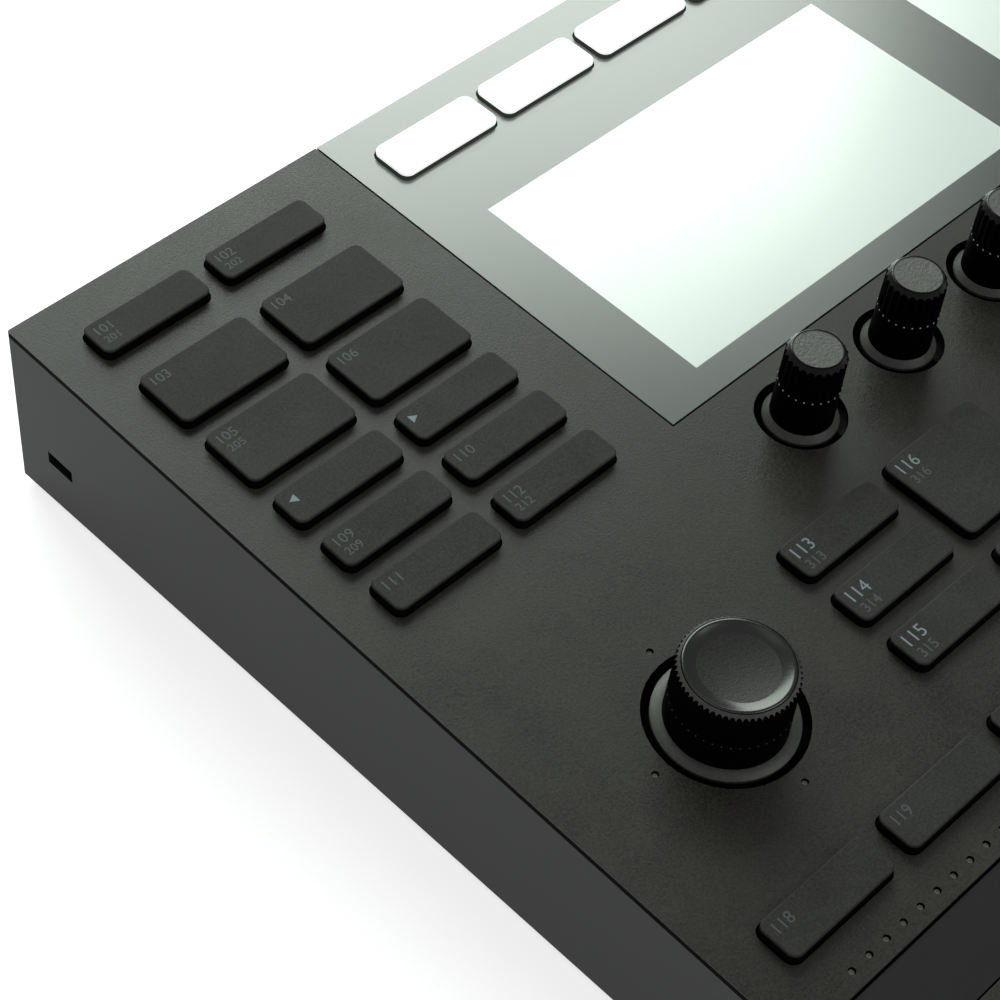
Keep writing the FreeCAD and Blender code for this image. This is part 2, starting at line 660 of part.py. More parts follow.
def make_top_plate():
    """Sheet-metal deck with an opening for each key, knob, pad and light."""
    body = new_body("top_plate")
    outline = new_sketch(body, "DeckOutline", out=DECK_UNDER)
    seam_left = minus(GLASS_LEFT, S.glass_gap)
    seam_front = minus(GLASS_FRONT, S.glass_gap)
    draw_polygon(outline, [(LEFT, FRONT), (RIGHT, FRONT), (RIGHT, seam_front),
                           (seam_left, seam_front), (seam_left, REAR), (LEFT, REAR)])
    plate = pad(body, outline, S.deck_thickness)
    DOC.recompute()
    outer = [value_of(LEFT), value_of(RIGHT)]
    ends = [value_of(FRONT), value_of(REAR)]

    def outer_corner(edge):
        point = edge.Vertexes[0].Point
        near_side = min(abs(point.x - x) for x in outer) < 1e-6
        return is_upright(edge) and near_side and min(abs(point.y - y) for y in ends) < 1e-6

    round_edges(body, plate, S.corner_radius, outer_corner, "DeckCorners")
    sink_strip_hole(body)
    for group in KNOB_GROUPS:
        sink_rounds(body, group["name"] + "_holes", group, S.knob_hole_radius, "0",
                    S.deck_thickness)
    sink_circles(body, "DialHole", [(ENCODER_X, ENCODER_Y)], S.dial_hole_radius, "0",
                 S.deck_thickness)
    light_hole = plus(S.light_radius, S.light_fit)
    sink_rounds(body, "LightHoles", STRIP_LIGHTS, light_hole, "0", S.deck_thickness)
    sink_circles(body, "RingLightHoles", RING_LIGHT_PLACES, light_hole, "0", S.deck_thickness)
    for group in DECK_KEYS:
        sink_family(body, group["name"] + "_holes", group, "0", S.deck_thickness,
                    grow=S.key_fit, corner=plus(S.key_corner, S.key_fit))
    sink_family(body, "pad_holes", PADS, "0", S.deck_thickness, grow=S.pad_fit,
                corner=plus(S.pad_corner, S.pad_fit))
    on_deck(body)


def sink_strip_hole(body):
    """Cut the touch strip's opening, with a bevel round its upper edge."""
    hole = sink_rectangles(body, "StripHole", [STRIP_PLACE], "0", S.deck_thickness,
                           grow=S.strip_fit)
    x, y, width, depth = [value_of(number) for number in STRIP_PLACE]
    reach = value_of(S.strip_fit) + 1e-6

    def mouth(edge):
        point = edge.CenterOfMass
        beside = abs(point.x - x) < width / 2 + reach and abs(point.y - y) < depth / 2 + reach
        return edge_at(0)(edge) and beside

    bevel_edges(body, hole, S.strip_bevel, mouth, "StripBevel")


def make_side_frame():
    """Moulded wedge frame: four walls, screw posts, the rear window and the lock slot."""
    body = new_body("side_frame")
    profile = new_sketch(body, "SideProfile", plane="YZ_Plane", out=LEFT)
    draw_polygon(profile, [(FRONT, minus("0", S.front_height)), (REAR, minus("0", S.rear_height)),
                           (REAR, DECK_UNDER), (FRONT, DECK_UNDER)])
    block = pad(body, profile, WIDTH)
    round_edges(body, block, S.corner_radius, is_upright, "FrameCorners")
    inner_width = minus(WIDTH, times(2, S.wall))
    inner_depth = minus(DEPTH, times(2, S.wall))
    cavity = ("0", "0", inner_width, inner_depth)
    sink_rectangles(body, "Cavity", [cavity], DECK_UNDER, S.rear_height)

    groove = new_sketch(body, "SeamGroove", out=DECK_UNDER)
    draw_polygon(groove, rectangle("0", "0", WIDTH, DEPTH, grow=S.wall))
    draw_polygon(groove, rectangle("0", "0", WIDTH, DEPTH, grow=minus("0", S.seam_inset)))
    pocket(body, groove, S.seam_height)

    posts = new_sketch(body, "Posts", out=BOARD_UNDER)
    for side, end in POSTS:
        draw_polygon(posts, rectangle(*post_place(side, end), S.post_width, S.post_width))
    pad(body, posts, S.rear_height, reverse=True)
    floor = new_sketch(body, "FloorCut", plane="YZ_Plane", out=minus("0", half(inner_width)))
    low = minus("0", times(2, S.rear_height))
    rear_inside = half(inner_depth)
    front_inside = minus("0", rear_inside)
    draw_polygon(floor, [(front_inside, low), (rear_inside, low),
                         (rear_inside, base_top_at(rear_inside)),
                         (front_inside, base_top_at(front_inside))])
    pocket(body, floor, inner_width, reverse=True)

    pilots = new_sketch(body, "PilotHoles", out=minus("0", MID_HEIGHT))
    pilots.AttachmentOffset = Placement(pilots.AttachmentOffset.Base,
                                        Rotation(Vector(1, 0, 0), -value_of(TILT)))
    pilots.setExpression("AttachmentOffset.Rotation.Angle", f"-{TILT}")
    for side, end in POSTS:
        x, y = screw_place(side, end)
        draw_circle(pilots, x, y, plus(S.screw_radius, S.screw_fit))
    pocket(body, pilots, plus(S.base_thickness, S.screw_grip, S.rest_gap), reverse=True)

    window = new_sketch(body, "RearWindow", plane="XZ_Plane", out=minus("0", REAR))
    draw_polygon(window, rectangle("0", panel_middle(), S.panel_width, S.panel_height))
    pocket(body, window, S.wall, reverse=True)
    lock = new_sketch(body, "LockSlot", plane="YZ_Plane", out=LEFT)
    draw_polygon(lock, rectangle(set_back(S.lock_line), minus("0", S.lock_drop), S.lock_width,
                                 S.lock_height))
    pocket(body, lock, S.wall, reverse=True)
    on_deck(body)


def post_place(side, end):
    """Centre of a screw post, against the walls of the case."""
    reach_x = minus(half(WIDTH), S.wall, half(S.post_width))
    reach_y = minus(half(DEPTH), S.wall, half(S.post_width))
    return times(side, reach_x), times(end, reach_y)


def screw_place(side, end):
    """Place of a screw in the base's frame, under its post."""
    x, y = post_place(side, end)
    return x, f"({y}) / cos({TILT})"


def base_top_at(y):
    """Height of the base plate's upper face in the deck's frame."""
    return f"-{MID_HEIGHT} - ({y}) * tan({TILT}) + {S.base_thickness} / cos({TILT})"


def panel_middle():
    """Height of the rear panel's middle."""
    return minus("0", S.panel_drop, half(S.panel_height))


def make_base_plate():
    """Steel plate that closes the case from below, with recessed screw holes."""
    body = new_body("base_plate")
    reach = minus(DEPTH, times(2, S.wall))
    outline = ("0", "0", minus(WIDTH, times(2, S.wall)), f"({reach}) / cos({TILT})")
    raise_rectangles(body, "BaseOutline", [outline], "0", S.base_thickness,
                     grow=minus("0", S.base_clearance))
    places = [screw_place(side, end) for side, end in POSTS]
    sink_circles(body, "ScrewHoles", places, plus(S.screw_radius, S.head_fit),
                 S.base_thickness, S.base_thickness)
    sink_circles(body, "HeadRecesses", places, plus(S.head_radius, S.head_fit),
                 plus(S.head_height, half(S.head_fit)), S.base_thickness)
    on_base(body)


def make_case_screws():
    """Screws that hold the base plate to the posts."""
    body = new_body("case_screws")
    places = [screw_place(side, end) for side, end in POSTS]
    seat = plus(S.head_height, half(S.head_fit))
    raise_circles(body, "ScrewHeads", places, S.head_radius, minus(seat, S.head_height), seat)
    raise_circles(body, "ScrewShanks", places, S.screw_radius, seat,
                  plus(S.base_thickness, S.screw_grip))
    on_base(body)


def make_rubber_feet():
    """Four feet under the base plate."""
    body = new_body("rubber_feet")
    reach_x = minus(half(WIDTH), S.foot_inset)
    reach_y = minus(half(DEPTH), S.foot_inset)
    places = [(times(a, reach_x), times(b, reach_y)) for a, b in CORNERS]
    raise_circles(body, "FootDiscs", places, S.foot_radius, minus("0", S.foot_height), "0")
    on_base(body)


def make_rear_panel():
    """Panel that carries the sockets in the rear window."""
    body = new_body("rear_panel")
    middle = panel_middle()
    face = new_sketch(body, "PanelFace", plane="XZ_Plane", out=minus("0", REAR))
    draw_polygon(face, rectangle("0", middle, S.panel_width, S.panel_height,
                                 grow=minus("0", S.panel_fit)))
    pad(body, face, S.wall)
    inside = minus(REAR, S.wall)
    flange = new_sketch(body, "PanelFlange", plane="XZ_Plane", out=minus("0", inside))
    draw_polygon(flange, rectangle("0", middle, S.panel_width, S.panel_height,
                                   grow=S.panel_flange))
    pad(body, flange, S.panel_flange_thickness)
    depth = plus(S.wall, S.panel_flange_thickness)
    holes = new_sketch(body, "RoundHoles", plane="XZ_Plane", out=minus("0", REAR))
    for x in jack_lines():
        draw_circle(holes, x, socket_line(), plus(S.jack_nose_radius, S.socket_fit))
    for x in midi_lines():
        draw_circle(holes, x, midi_line(), plus(S.midi_nose_radius, S.socket_fit))
    draw_circle(holes, S.power_line, socket_line(), plus(S.power_nose_radius, S.socket_fit))
    draw_polygon(holes, rectangle(S.usb_line, socket_line(), S.usb_width, S.usb_height,
                                  grow=S.socket_fit))
    draw_polygon(holes, rectangle(S.button_line, socket_line(), S.button_width,
                                  S.button_height, grow=S.key_fit))
    pocket(body, holes, depth, reverse=True)
    on_deck(body)


def jack_lines():
    """X of each audio jack."""
    return [plus(S.jack_start, times(index, S.jack_pitch)) for index in range(JACKS)]


def midi_lines():
    """X of each five-pin socket."""
    return [plus(S.midi_start, times(index, S.midi_pitch)) for index in range(MIDI_SOCKETS)]


def socket_line():
    """Height of the jack, data and power sockets under the control board."""
    return minus(BOARD_UNDER, half(S.socket_height))


def midi_line():
    """Height of the five-pin sockets under the control board."""
    return minus(BOARD_UNDER, half(S.midi_width))


PANEL_INSIDE = minus(REAR, S.wall, S.panel_flange_thickness)
SOCKET_FACE = minus(REAR, S.socket_proud)


def rear_sketch(body, name, line):
    """Sketch that faces the rear, on a line of Y."""
    return new_sketch(body, name, plane="XZ_Plane", out=minus("0", line))


def make_audio_jacks():
    """Jack sockets: a body behind the panel, a nose through it and a bore."""
    body = new_body("audio_jacks")
    shells = rear_sketch(body, "JackShells", PANEL_INSIDE)
    noses = rear_sketch(body, "JackNoses", SOCKET_FACE)
    bores = rear_sketch(body, "JackBores", SOCKET_FACE)
    for x in jack_lines():
        draw_polygon(shells, rectangle(x, socket_line(), S.jack_width, S.socket_height))
        draw_circle(noses, x, socket_line(), S.jack_nose_radius)
        draw_circle(bores, x, socket_line(), S.jack_bore_radius)
    pad(body, shells, S.jack_length)
    pad(body, noses, minus(SOCKET_FACE, PANEL_INSIDE))
    pocket(body, bores, S.jack_bore_depth, reverse=True)
    on_deck(body)


def make_midi_sockets():
    """Five-pin round sockets with their groove and core."""
    body = new_body("midi_sockets")
    shells = rear_sketch(body, "MidiShells", PANEL_INSIDE)
    noses = rear_sketch(body, "MidiNoses", SOCKET_FACE)
    grooves = rear_sketch(body, "MidiGrooves", SOCKET_FACE)
    for x in midi_lines():
        draw_polygon(shells, rectangle(x, midi_line(), S.midi_width, S.midi_width))
        draw_circle(noses, x, midi_line(), S.midi_nose_radius)
        draw_circle(grooves, x, midi_line(), S.midi_groove_radius)
        draw_circle(grooves, x, midi_line(), S.midi_core_radius)
    pad(body, shells, S.midi_length)
    pad(body, noses, minus(SOCKET_FACE, PANEL_INSIDE))
    pocket(body, grooves, S.midi_groove_depth, reverse=True)
    on_deck(body)


def make_usb_and_power_sockets():
    """Data socket with its tongue, and the power socket with its pin."""
    body = new_body("usb_and_power_sockets")
    usb = rear_sketch(body, "UsbShell", PANEL_INSIDE)
    draw_polygon(usb, rectangle(S.usb_line, socket_line(), S.usb_width, S.socket_height))
    pad(body, usb, S.usb_length)
    power = rear_sketch(body, "PowerShell", PANEL_INSIDE)
    draw_polygon(power, rectangle(S.power_line, socket_line(), S.power_width, S.socket_height))
    pad(body, power, S.power_length)
    noses = rear_sketch(body, "Noses", SOCKET_FACE)
    draw_polygon(noses, rectangle(S.usb_line, socket_line(), S.usb_width, S.usb_height))
    draw_circle(noses, S.power_line, socket_line(), S.power_nose_radius)
    pad(body, noses, minus(SOCKET_FACE, PANEL_INSIDE))
    slot = rear_sketch(body, "UsbSlot", SOCKET_FACE)
    draw_polygon(slot, rectangle(S.usb_line, socket_line(), S.usb_slot_width,
                                 S.usb_slot_height))
    draw_polygon(slot, rectangle(S.usb_line, socket_line(), S.usb_tongue_width,
                                 S.usb_tongue_height))
    pocket(body, slot, S.usb_slot_depth, reverse=True)
    bore = rear_sketch(body, "PowerBore", SOCKET_FACE)
    draw_circle(bore, S.power_line, socket_line(), S.power_bore_radius)
    draw_circle(bore, S.power_line, socket_line(), S.power_pin_radius)
    pocket(body, bore, S.power_bore_depth, reverse=True)
    on_deck(body)


def make_power_button():
    """Power button in the rear panel, with its flange and stem."""
    body = new_body("power_button")
    place = (S.button_line, socket_line(), S.button_width, S.button_height)
    face = plus(REAR, S.button_proud)
    flange_face = minus(PANEL_INSIDE, S.rest_gap)
    cap = rear_sketch(body, "ButtonCap", face)
    draw_polygon(cap, rectangle(*place))
    pad(body, cap, minus(face, flange_face))
    flange = rear_sketch(body, "ButtonFlange", flange_face)
    draw_polygon(flange, rectangle(*place, grow=S.flange_width))
    pad(body, flange, S.flange_thickness)
    stem = rear_sketch(body, "ButtonStem", minus(flange_face, S.flange_thickness))
    draw_polygon(stem, rectangle(S.button_line, socket_line(), S.stem_width, S.stem_width))
    pad(body, stem, S.button_stem)
    on_deck(body)


def make_display_glass():
    """Glass panel over both displays, with an opening for each of its keys."""
    body = new_body("display_glass")
    outline = new_sketch(body, "GlassOutline", out=DECK_UNDER)
    draw_polygon(outline, [(GLASS_LEFT, GLASS_FRONT), (RIGHT, GLASS_FRONT), (RIGHT, REAR),
                           (GLASS_LEFT, REAR)])
    sheet = pad(body, outline, S.deck_thickness)
    corner = (value_of(RIGHT), value_of(REAR))

    def case_corner(edge):
        point = edge.Vertexes[0].Point
        return (is_upright(edge) and abs(point.x - corner[0]) < 1e-6
                and abs(point.y - corner[1]) < 1e-6)

    round_edges(body, sheet, S.corner_radius, case_corner, "GlassCorner")
    for group in GLASS_KEYS:
        sink_family(body, group["name"] + "_holes", group, "0", S.deck_thickness,
                    grow=S.key_fit, corner=plus(S.display_key_corner, S.key_fit))
    on_deck(body)


def module_places():
    """Rectangles of the display modules."""
    return [(centre, DISPLAY_Y, S.module_width, S.module_depth) for centre in DISPLAYS]


def make_display_frame():
    """Moulded frame under the glass that holds the display modules."""
    body = new_body("display_frame")
    bottom = minus(DECK_UNDER, S.module_thickness)
    left = minus(GLASS_LEFT, S.tray_lip)
    front = minus(GLASS_FRONT, S.tray_lip)
    outline = new_sketch(body, "TrayOutline", out=bottom)
    right = minus(RIGHT, S.wall)
    rear = minus(REAR, S.wall)
    draw_polygon(outline, [(left, front), (right, front), (right, rear), (left, rear)])
    pad(body, outline, S.module_thickness)
    sink_rectangles(body, "ModuleWindows", module_places(), DECK_UNDER, S.module_thickness,
                    grow=S.tray_fit)
    for group in GLASS_KEYS:
        sink_family(body, group["name"] + "_wells", group, DECK_UNDER, S.module_thickness,
                    grow=plus(S.flange_width, S.key_fit))
    on_deck(body)


def make_display_modules():
    """Two display modules against the underside of the glass."""
    body = new_body("display_modules")
    raise_rectangles(body, "ModuleBlocks", module_places(), minus(DECK_UNDER, S.module_thickness),
                     DECK_UNDER)
    on_deck(body)


def make_control_board():
    """Main circuit board on the screw posts."""
    body = new_body("control_board")
    edge = plus(S.wall, S.board_clearance)
    raise_rectangles(body, "BoardOutline", [("0", "0", WIDTH, DEPTH)], BOARD_UNDER, BOARD_TOP,
                     grow=minus("0", edge))
    on_deck(body)


def pad_field_place():
    """Rectangle of the whole pad field."""
    return (plus(PAD_LEFT, half(PAD_FIELD)), plus(PAD_FRONT, half(PAD_FIELD)), PAD_FIELD,
            PAD_FIELD)


def make_pad_board():
    """Pressure sensor board under the rubber pads."""
    body = new_body("pad_board")
    top = minus("0", S.pad_board_depth)
    raise_rectangles(body, "SensorBoard", [pad_field_place()], minus(top, S.board_thickness), top,
                     grow=S.mat_border)
    on_deck(body)


def make_board_spacers():
    """Spacers that carry the pad board on the control board."""
    body = new_body("board_spacers")
    x, y, size, _ = pad_field_place()
    reach = minus(half(size), S.spacer_radius)
    places = [(plus(x, times(a, reach)), plus(y, times(b, reach))) for a, b in CORNERS]
    raise_circles(body, "SpacerColumns", places + [(x, y)], S.spacer_radius, BOARD_TOP,
                  minus("0", S.pad_board_depth, S.board_thickness))
    on_deck(body)


def make_pad_mat():
    """Sixteen rubber pads moulded on one sheet."""
    body = new_body("pad_mat")
    bottom = minus("0", S.pad_board_depth)
    sheet_top = plus(bottom, S.mat_thickness)
    blocks = raise_family(body, "PadBlocks", PADS, sheet_top, S.pad_rise)
    rounded = round_edges(body, blocks, S.pad_corner, is_upright, "PadCorners")
    round_edges(body, rounded, S.key_edge, edge_at(value_of(S.pad_rise)), "PadEdges")
    raise_rectangles(body, "PadSheet", [pad_field_place()], bottom, sheet_top,
                     grow=S.mat_border)
    on_deck(body)


def make_touch_strip():
    """Touch strip in its opening, with a flange under the deck."""
    body = new_body("touch_strip")
    top = minus("0", S.strip_drop)
    raise_rectangles(body, "StripBar", [STRIP_PLACE], DECK_UNDER, top)
    raise_rectangles(body, "StripFlange", [STRIP_PLACE],
                     minus(DECK_UNDER, S.flange_thickness), DECK_UNDER, grow=S.strip_flange)
    on_deck(body)


def make_indicator_lights():
    """Light pipes from the control board to the deck's face."""
    body = new_body("indicator_lights")
    top = minus("0", S.light_drop)
    raise_rounds(body, "StripLights", STRIP_LIGHTS, S.light_radius, BOARD_TOP, top)
    raise_circles(body, "RingLights", RING_LIGHT_PLACES, S.light_radius, BOARD_TOP, top)
    on_deck(body)


def switch_top():
    """Height of the switch plungers."""
    return plus(BOARD_TOP, S.switch_height, S.plunger_height)


def make_key_switches():
    """A key switch on the control board under each key, and one behind the power button."""
    body = new_body("key_switches")
    shoulder = plus(BOARD_TOP, S.switch_height)
    for group in DECK_KEYS + GLASS_KEYS:
        raise_family(body, group["name"] + "_switches", group, BOARD_TOP, shoulder,
                     square=S.switch_width)
        raise_rounds(body, group["name"] + "_plungers", group, S.plunger_radius, shoulder,
                     switch_top())
    stem_end = minus(PANEL_INSIDE, S.rest_gap, S.flange_thickness, S.button_stem)
    power = rear_sketch(body, "PowerSwitch", minus(stem_end, S.button_travel, S.rest_gap))
    draw_polygon(power, rectangle(S.button_line, socket_line(), S.switch_width,
                                  S.socket_height))
    pad(body, power, S.switch_width)
    on_deck(body)


def make_knob_encoders():
    """Rotary encoders under the small knobs: a can and a bush with a running bore."""
    body = new_body("knob_encoders")
    can_top = plus(BOARD_TOP, S.can_height)
    bush_top = minus("0", S.bush_top)
    for group in KNOB_GROUPS:
        name = group["name"]
        raise_family(body, name + "_cans", group, BOARD_TOP, can_top)
        raise_rounds(body, name + "_bushes", group, S.bush_radius, can_top, bush_top)
        sink_rounds(body, name + "_bores", group, plus(S.spindle_radius, S.spindle_fit),
                    bush_top, plus(minus(S.spindle_reach, S.bush_top), S.rest_gap))
    on_deck(body)


def turn_profile(body, name, centre, corners):
    """Revolve an outline of radius and height about an upright axis."""
    x, y = centre
    sketch = new_sketch(body, name, plane="XZ_Plane", out=minus("0", y), right=x)
    draw_polygon(sketch, corners)
    turned = body.newObject("PartDesign::Revolution", name + "Turned")
    turned.Profile = sketch
    turned.ReferenceAxis = (sketch, ["V_Axis"])
    turned.Angle = 360
    sketch.Visibility = False
    return turned


def make_knob(number, centre):
    """Small knob with its sloping skirt and its spindle."""
    body = new_body(f"knob_{number}")
    over = minus("0", S.skirt_drop)
    under = minus(over, S.skirt_thickness)
    turn_profile(body, f"Knob{number}Profile", centre, [
        ("0", minus("0", S.spindle_reach)),
        (S.spindle_radius, minus("0", S.spindle_reach)),
        (S.spindle_radius, under),
        (S.knob_skirt_radius, under),
        (S.knob_skirt_radius, over),
        (S.knob_foot_radius, plus(over, S.knob_skirt_slope)),
        (S.knob_radius, minus(S.knob_rise, S.knob_bevel)),
        (S.knob_top_radius, S.knob_rise),
        ("0", S.knob_rise),
    ])
    on_deck(body)


PIVOT_Z = minus("0", S.pivot_depth)
PIVOT_BORE = plus(S.pivot_radius, S.pivot_fit)
RING_INSIDE = plus(S.block_width, times(2, S.gimbal_gap))
RING_OUTSIDE = plus(RING_INSIDE, times(2, S.gimbal_wall))
HOUSING_INSIDE = plus(RING_OUTSIDE, times(2, S.gimbal_gap))
HOUSING_OUTSIDE = plus(HOUSING_INSIDE, times(2, S.housing_wall))
GIMBAL_LOW = minus(PIVOT_Z, half(S.gimbal_height))
GIMBAL_HIGH = plus(PIVOT_Z, half(S.gimbal_height))


def square(width):
    """Square about the large encoder's axis."""
    return [(ENCODER_X, ENCODER_Y, width, width)]


def make_joystick_housing():
    """Open housing on the control board with bores for the tilt ring's pins."""
    body = new_body("joystick_housing")
    top = minus("0", S.housing_drop)
    raise_rectangles(body, "HousingBlock", square(HOUSING_OUTSIDE), BOARD_TOP, top)
    sink_rectangles(body, "HousingCavity", square(HOUSING_INSIDE), top,
                    minus(top, BOARD_TOP, S.housing_floor))
    bores = new_sketch(body, "HousingBores", plane="YZ_Plane",
                       out=minus(ENCODER_X, half(HOUSING_OUTSIDE)))
    draw_circle(bores, ENCODER_Y, PIVOT_Z, PIVOT_BORE)
    pocket(body, bores, HOUSING_OUTSIDE, reverse=True)
    on_deck(body)


def make_gimbal_ring():
    """Outer tilt ring: two pins along X in the housing, two bores along Y."""
    body = new_body("gimbal_ring")
    raise_rectangles(body, "RingBlock", square(RING_OUTSIDE), GIMBAL_LOW, GIMBAL_HIGH)
    reach = plus(half(HOUSING_INSIDE), S.housing_wall)
    pins = new_sketch(body, "RingPins", plane="YZ_Plane", out=minus(ENCODER_X, reach))
    draw_circle(pins, ENCODER_Y, PIVOT_Z, S.pivot_radius)
    pad(body, pins, times(2, reach))
    sink_rectangles(body, "RingWindow", square(RING_INSIDE), GIMBAL_HIGH, S.gimbal_height)
    bores = rear_sketch(body, "RingBores", plus(ENCODER_Y, half(RING_OUTSIDE)))
    draw_circle(bores, ENCODER_X, PIVOT_Z, PIVOT_BORE)
    pocket(body, bores, RING_OUTSIDE, reverse=True)
    on_deck(body)


def make_gimbal_block():
    """Inner tilt block: two pins along Y in the ring, and the shaft's bore."""
    body = new_body("gimbal_block")
    raise_rectangles(body, "BlockBody", square(S.block_width), GIMBAL_LOW, GIMBAL_HIGH)
    reach = half(RING_OUTSIDE)
    pins = rear_sketch(body, "BlockPins", plus(ENCODER_Y, reach))
    draw_circle(pins, ENCODER_X, PIVOT_Z, S.pivot_radius)
    pad(body, pins, times(2, reach))
    sink_circles(body, "ShaftBore", [(ENCODER_X, ENCODER_Y)],
                 plus(S.spindle_radius, S.spindle_fit), GIMBAL_HIGH, S.gimbal_height)
    on_deck(body)


def dial_bore_top():
    """Height of the blind end of the large encoder's bore."""
    return minus(S.dial_rise, S.dial_dish_depth, S.dial_floor)


def make_encoder_shaft():
    """Shaft that the large encoder turns on, with the collar that limits its stroke."""
    body = new_body("encoder_shaft")
    centre = [(ENCODER_X, ENCODER_Y)]
    floor = plus(BOARD_TOP, S.housing_floor)
    raise_circles(body, "ShaftRod", centre, S.spindle_radius,
                  plus(floor, S.push_travel, S.rest_gap), minus(dial_bore_top(), S.rest_gap))
    collar_low = plus(GIMBAL_HIGH, S.push_travel, S.rest_gap)
    raise_circles(body, "ShaftCollar", centre, S.collar_radius, collar_low,
                  plus(collar_low, S.collar_height))
    on_deck(body)


def make_encoder_cap():
    """Large dished encoder knob with its skirt."""
    body = new_body("encoder_cap")
    over = minus("0", S.skirt_drop)
    under = minus(over, S.skirt_thickness)
    bore = plus(S.spindle_radius, S.spindle_fit)
    rim_inside = minus(S.dial_rim_radius, S.dial_rim_width)
    turn_profile(body, "DialProfile", (ENCODER_X, ENCODER_Y), [
        (bore, under),
        (S.dial_skirt_radius, under),
        (S.dial_skirt_radius, over),
        (S.dial_foot_radius, plus(over, S.dial_skirt_slope)),
        (S.dial_shoulder_radius, minus(S.dial_rise, S.dial_bevel)),
        (S.dial_rim_radius, S.dial_rise),
        (rim_inside, S.dial_rise),
        (S.dial_dish_radius, minus(S.dial_rise, S.dial_dish_depth)),
        ("0", minus(S.dial_rise, S.dial_dish_depth)),
        ("0", dial_bore_top()),
        (bore, dial_bore_top()),
    ])
    on_deck(body)


def make_keys(label, *groups, rise=S.key_rise, corner=S.key_corner):
    """One key, or a bank of keys, each with its flange under the deck and its stem."""
    body = new_body(label)
    flange_top = minus(DECK_UNDER, S.rest_gap)
    flange_low = minus(flange_top, S.flange_thickness)
    for group in groups:
        name = label + "_" + group["name"]
        caps = raise_family(body, name + "_caps", group, flange_top, rise)
    rounded = round_edges(body, caps, corner, is_upright, label + "_corners")
    round_edges(body, rounded, S.key_edge, edge_at(value_of(rise)), label + "_edges")
    for group in groups:
        name = label + "_" + group["name"]
        raise_family(body, name + "_flanges", group, flange_low, flange_top,
                     grow=S.flange_width)
        raise_family(body, name + "_stems", group,
                     plus(switch_top(), S.key_travel, S.rest_gap), flange_low,
                     square=S.stem_width)
    on_deck(body)


def make_all_keys():
    """Keys that the hand reaches one by one, then the banks."""
    lines = [(group, row) for group in (FIRST_ROW, TALL_ROWS, ARROW_ROWS)
             for row in range(group["along"][0])]
    for index, (group, row) in enumerate(lines):
        for column in range(2):
            make_keys(f"block_key_{index * 2 + column + 1}", member(group, column, row))
    for column in range(4):
        make_keys(f"display_key_{column + 1}", member(GLASS_KEYS[0], column, 0),
                  rise=S.display_key_rise, corner=S.display_key_corner)
    for row in range(3):
        make_keys(f"encoder_key_{row + 1}", member(ENCODER_KEYS, 0, row))
    make_keys("high_key", HIGH_KEY)
    make_keys("low_key", LOW_KEY)
    make_keys("right_display_keys", GLASS_KEYS[1], rise=S.display_key_rise,
              corner=S.display_key_corner)
    make_keys("strip_keys", STRIP_KEYS)
    make_keys("lower_keys", GROUP_KEYS, TRANSPORT_KEYS)
    make_keys("column_keys", COLUMN_KEY_GROUP)
    make_keys("mode_keys", MODE_KEY_GROUP)


def check_document():
    """Stop when an object failed or a sub-part has no valid shape."""
    DOC.recompute()
    for item in DOC.Objects:
        if "Invalid" in item.State or "Error" in item.State:
            raise RuntimeError(f"{item.Label} failed: {item.State}")
        if item.TypeId == "PartDesign::Pocket":
            if item.BaseFeature.Shape.Volume - item.Shape.Volume < SMALLEST_CUT:
                raise RuntimeError(f"{item.Label} cuts nothing")
    for body in SUBPARTS:
        if body.Shape.isNull() or not body.Shape.isValid():
            raise RuntimeError(f"{body.Label} has no valid shape")


def export_subparts():
    """Write each sub-part's shape to its own file."""
    os.makedirs("parts", exist_ok=True)
    for body in SUBPARTS:
        body.Shape.exportStep(os.path.join("parts", body.Label + ".step"))
        box = body.Shape.BoundBox
        print(f"{body.Label:24s} solids {len(body.Shape.Solids):3d}"
              f"  volume {body.Shape.Volume:10.1f}"
              f"  x {box.XMin:8.2f} {box.XMax:8.2f}  y {box.YMin:8.2f} {box.YMax:8.2f}"
              f"  z {box.ZMin:7.2f} {box.ZMax:7.2f}")


def main():
    """Build every sub-part and write its file."""
    make_top_plate()
    make_side_frame()
    make_base_plate()
    make_case_screws()
    make_rubber_feet()
    make_rear_panel()
    make_audio_jacks()
    make_midi_sockets()
    make_usb_and_power_sockets()
    make_power_button()
    make_display_glass()
    make_display_frame()
    make_display_modules()
    make_control_board()
    make_pad_board()
    make_board_spacers()
    make_pad_mat()
    make_touch_strip()
    make_indicator_lights()
    make_key_switches()
    make_knob_encoders()
    for number, centre in enumerate(KNOB_PLACES, start=1):
        make_knob(number, centre)
    make_joystick_housing()
    make_gimbal_ring()
    make_gimbal_block()
    make_encoder_shaft()
    make_encoder_cap()
    make_all_keys()
    check_document()
    export_subparts()


main()
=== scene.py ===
"""Desktop pad controller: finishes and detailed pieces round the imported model.

The deck slopes down to the front. Sizes on it are in millimetres from its middle:
x to the right, y to the rear and z out of the deck.
"""

import logging
import math
from collections.abc import Callable
from dataclasses import dataclass, field
from enum import Enum

import bmesh
import bpy
from bpy.types import Material, Mesh, Node, NodeSocket, NodeTree, Object
from mathutils import Matrix, Vector


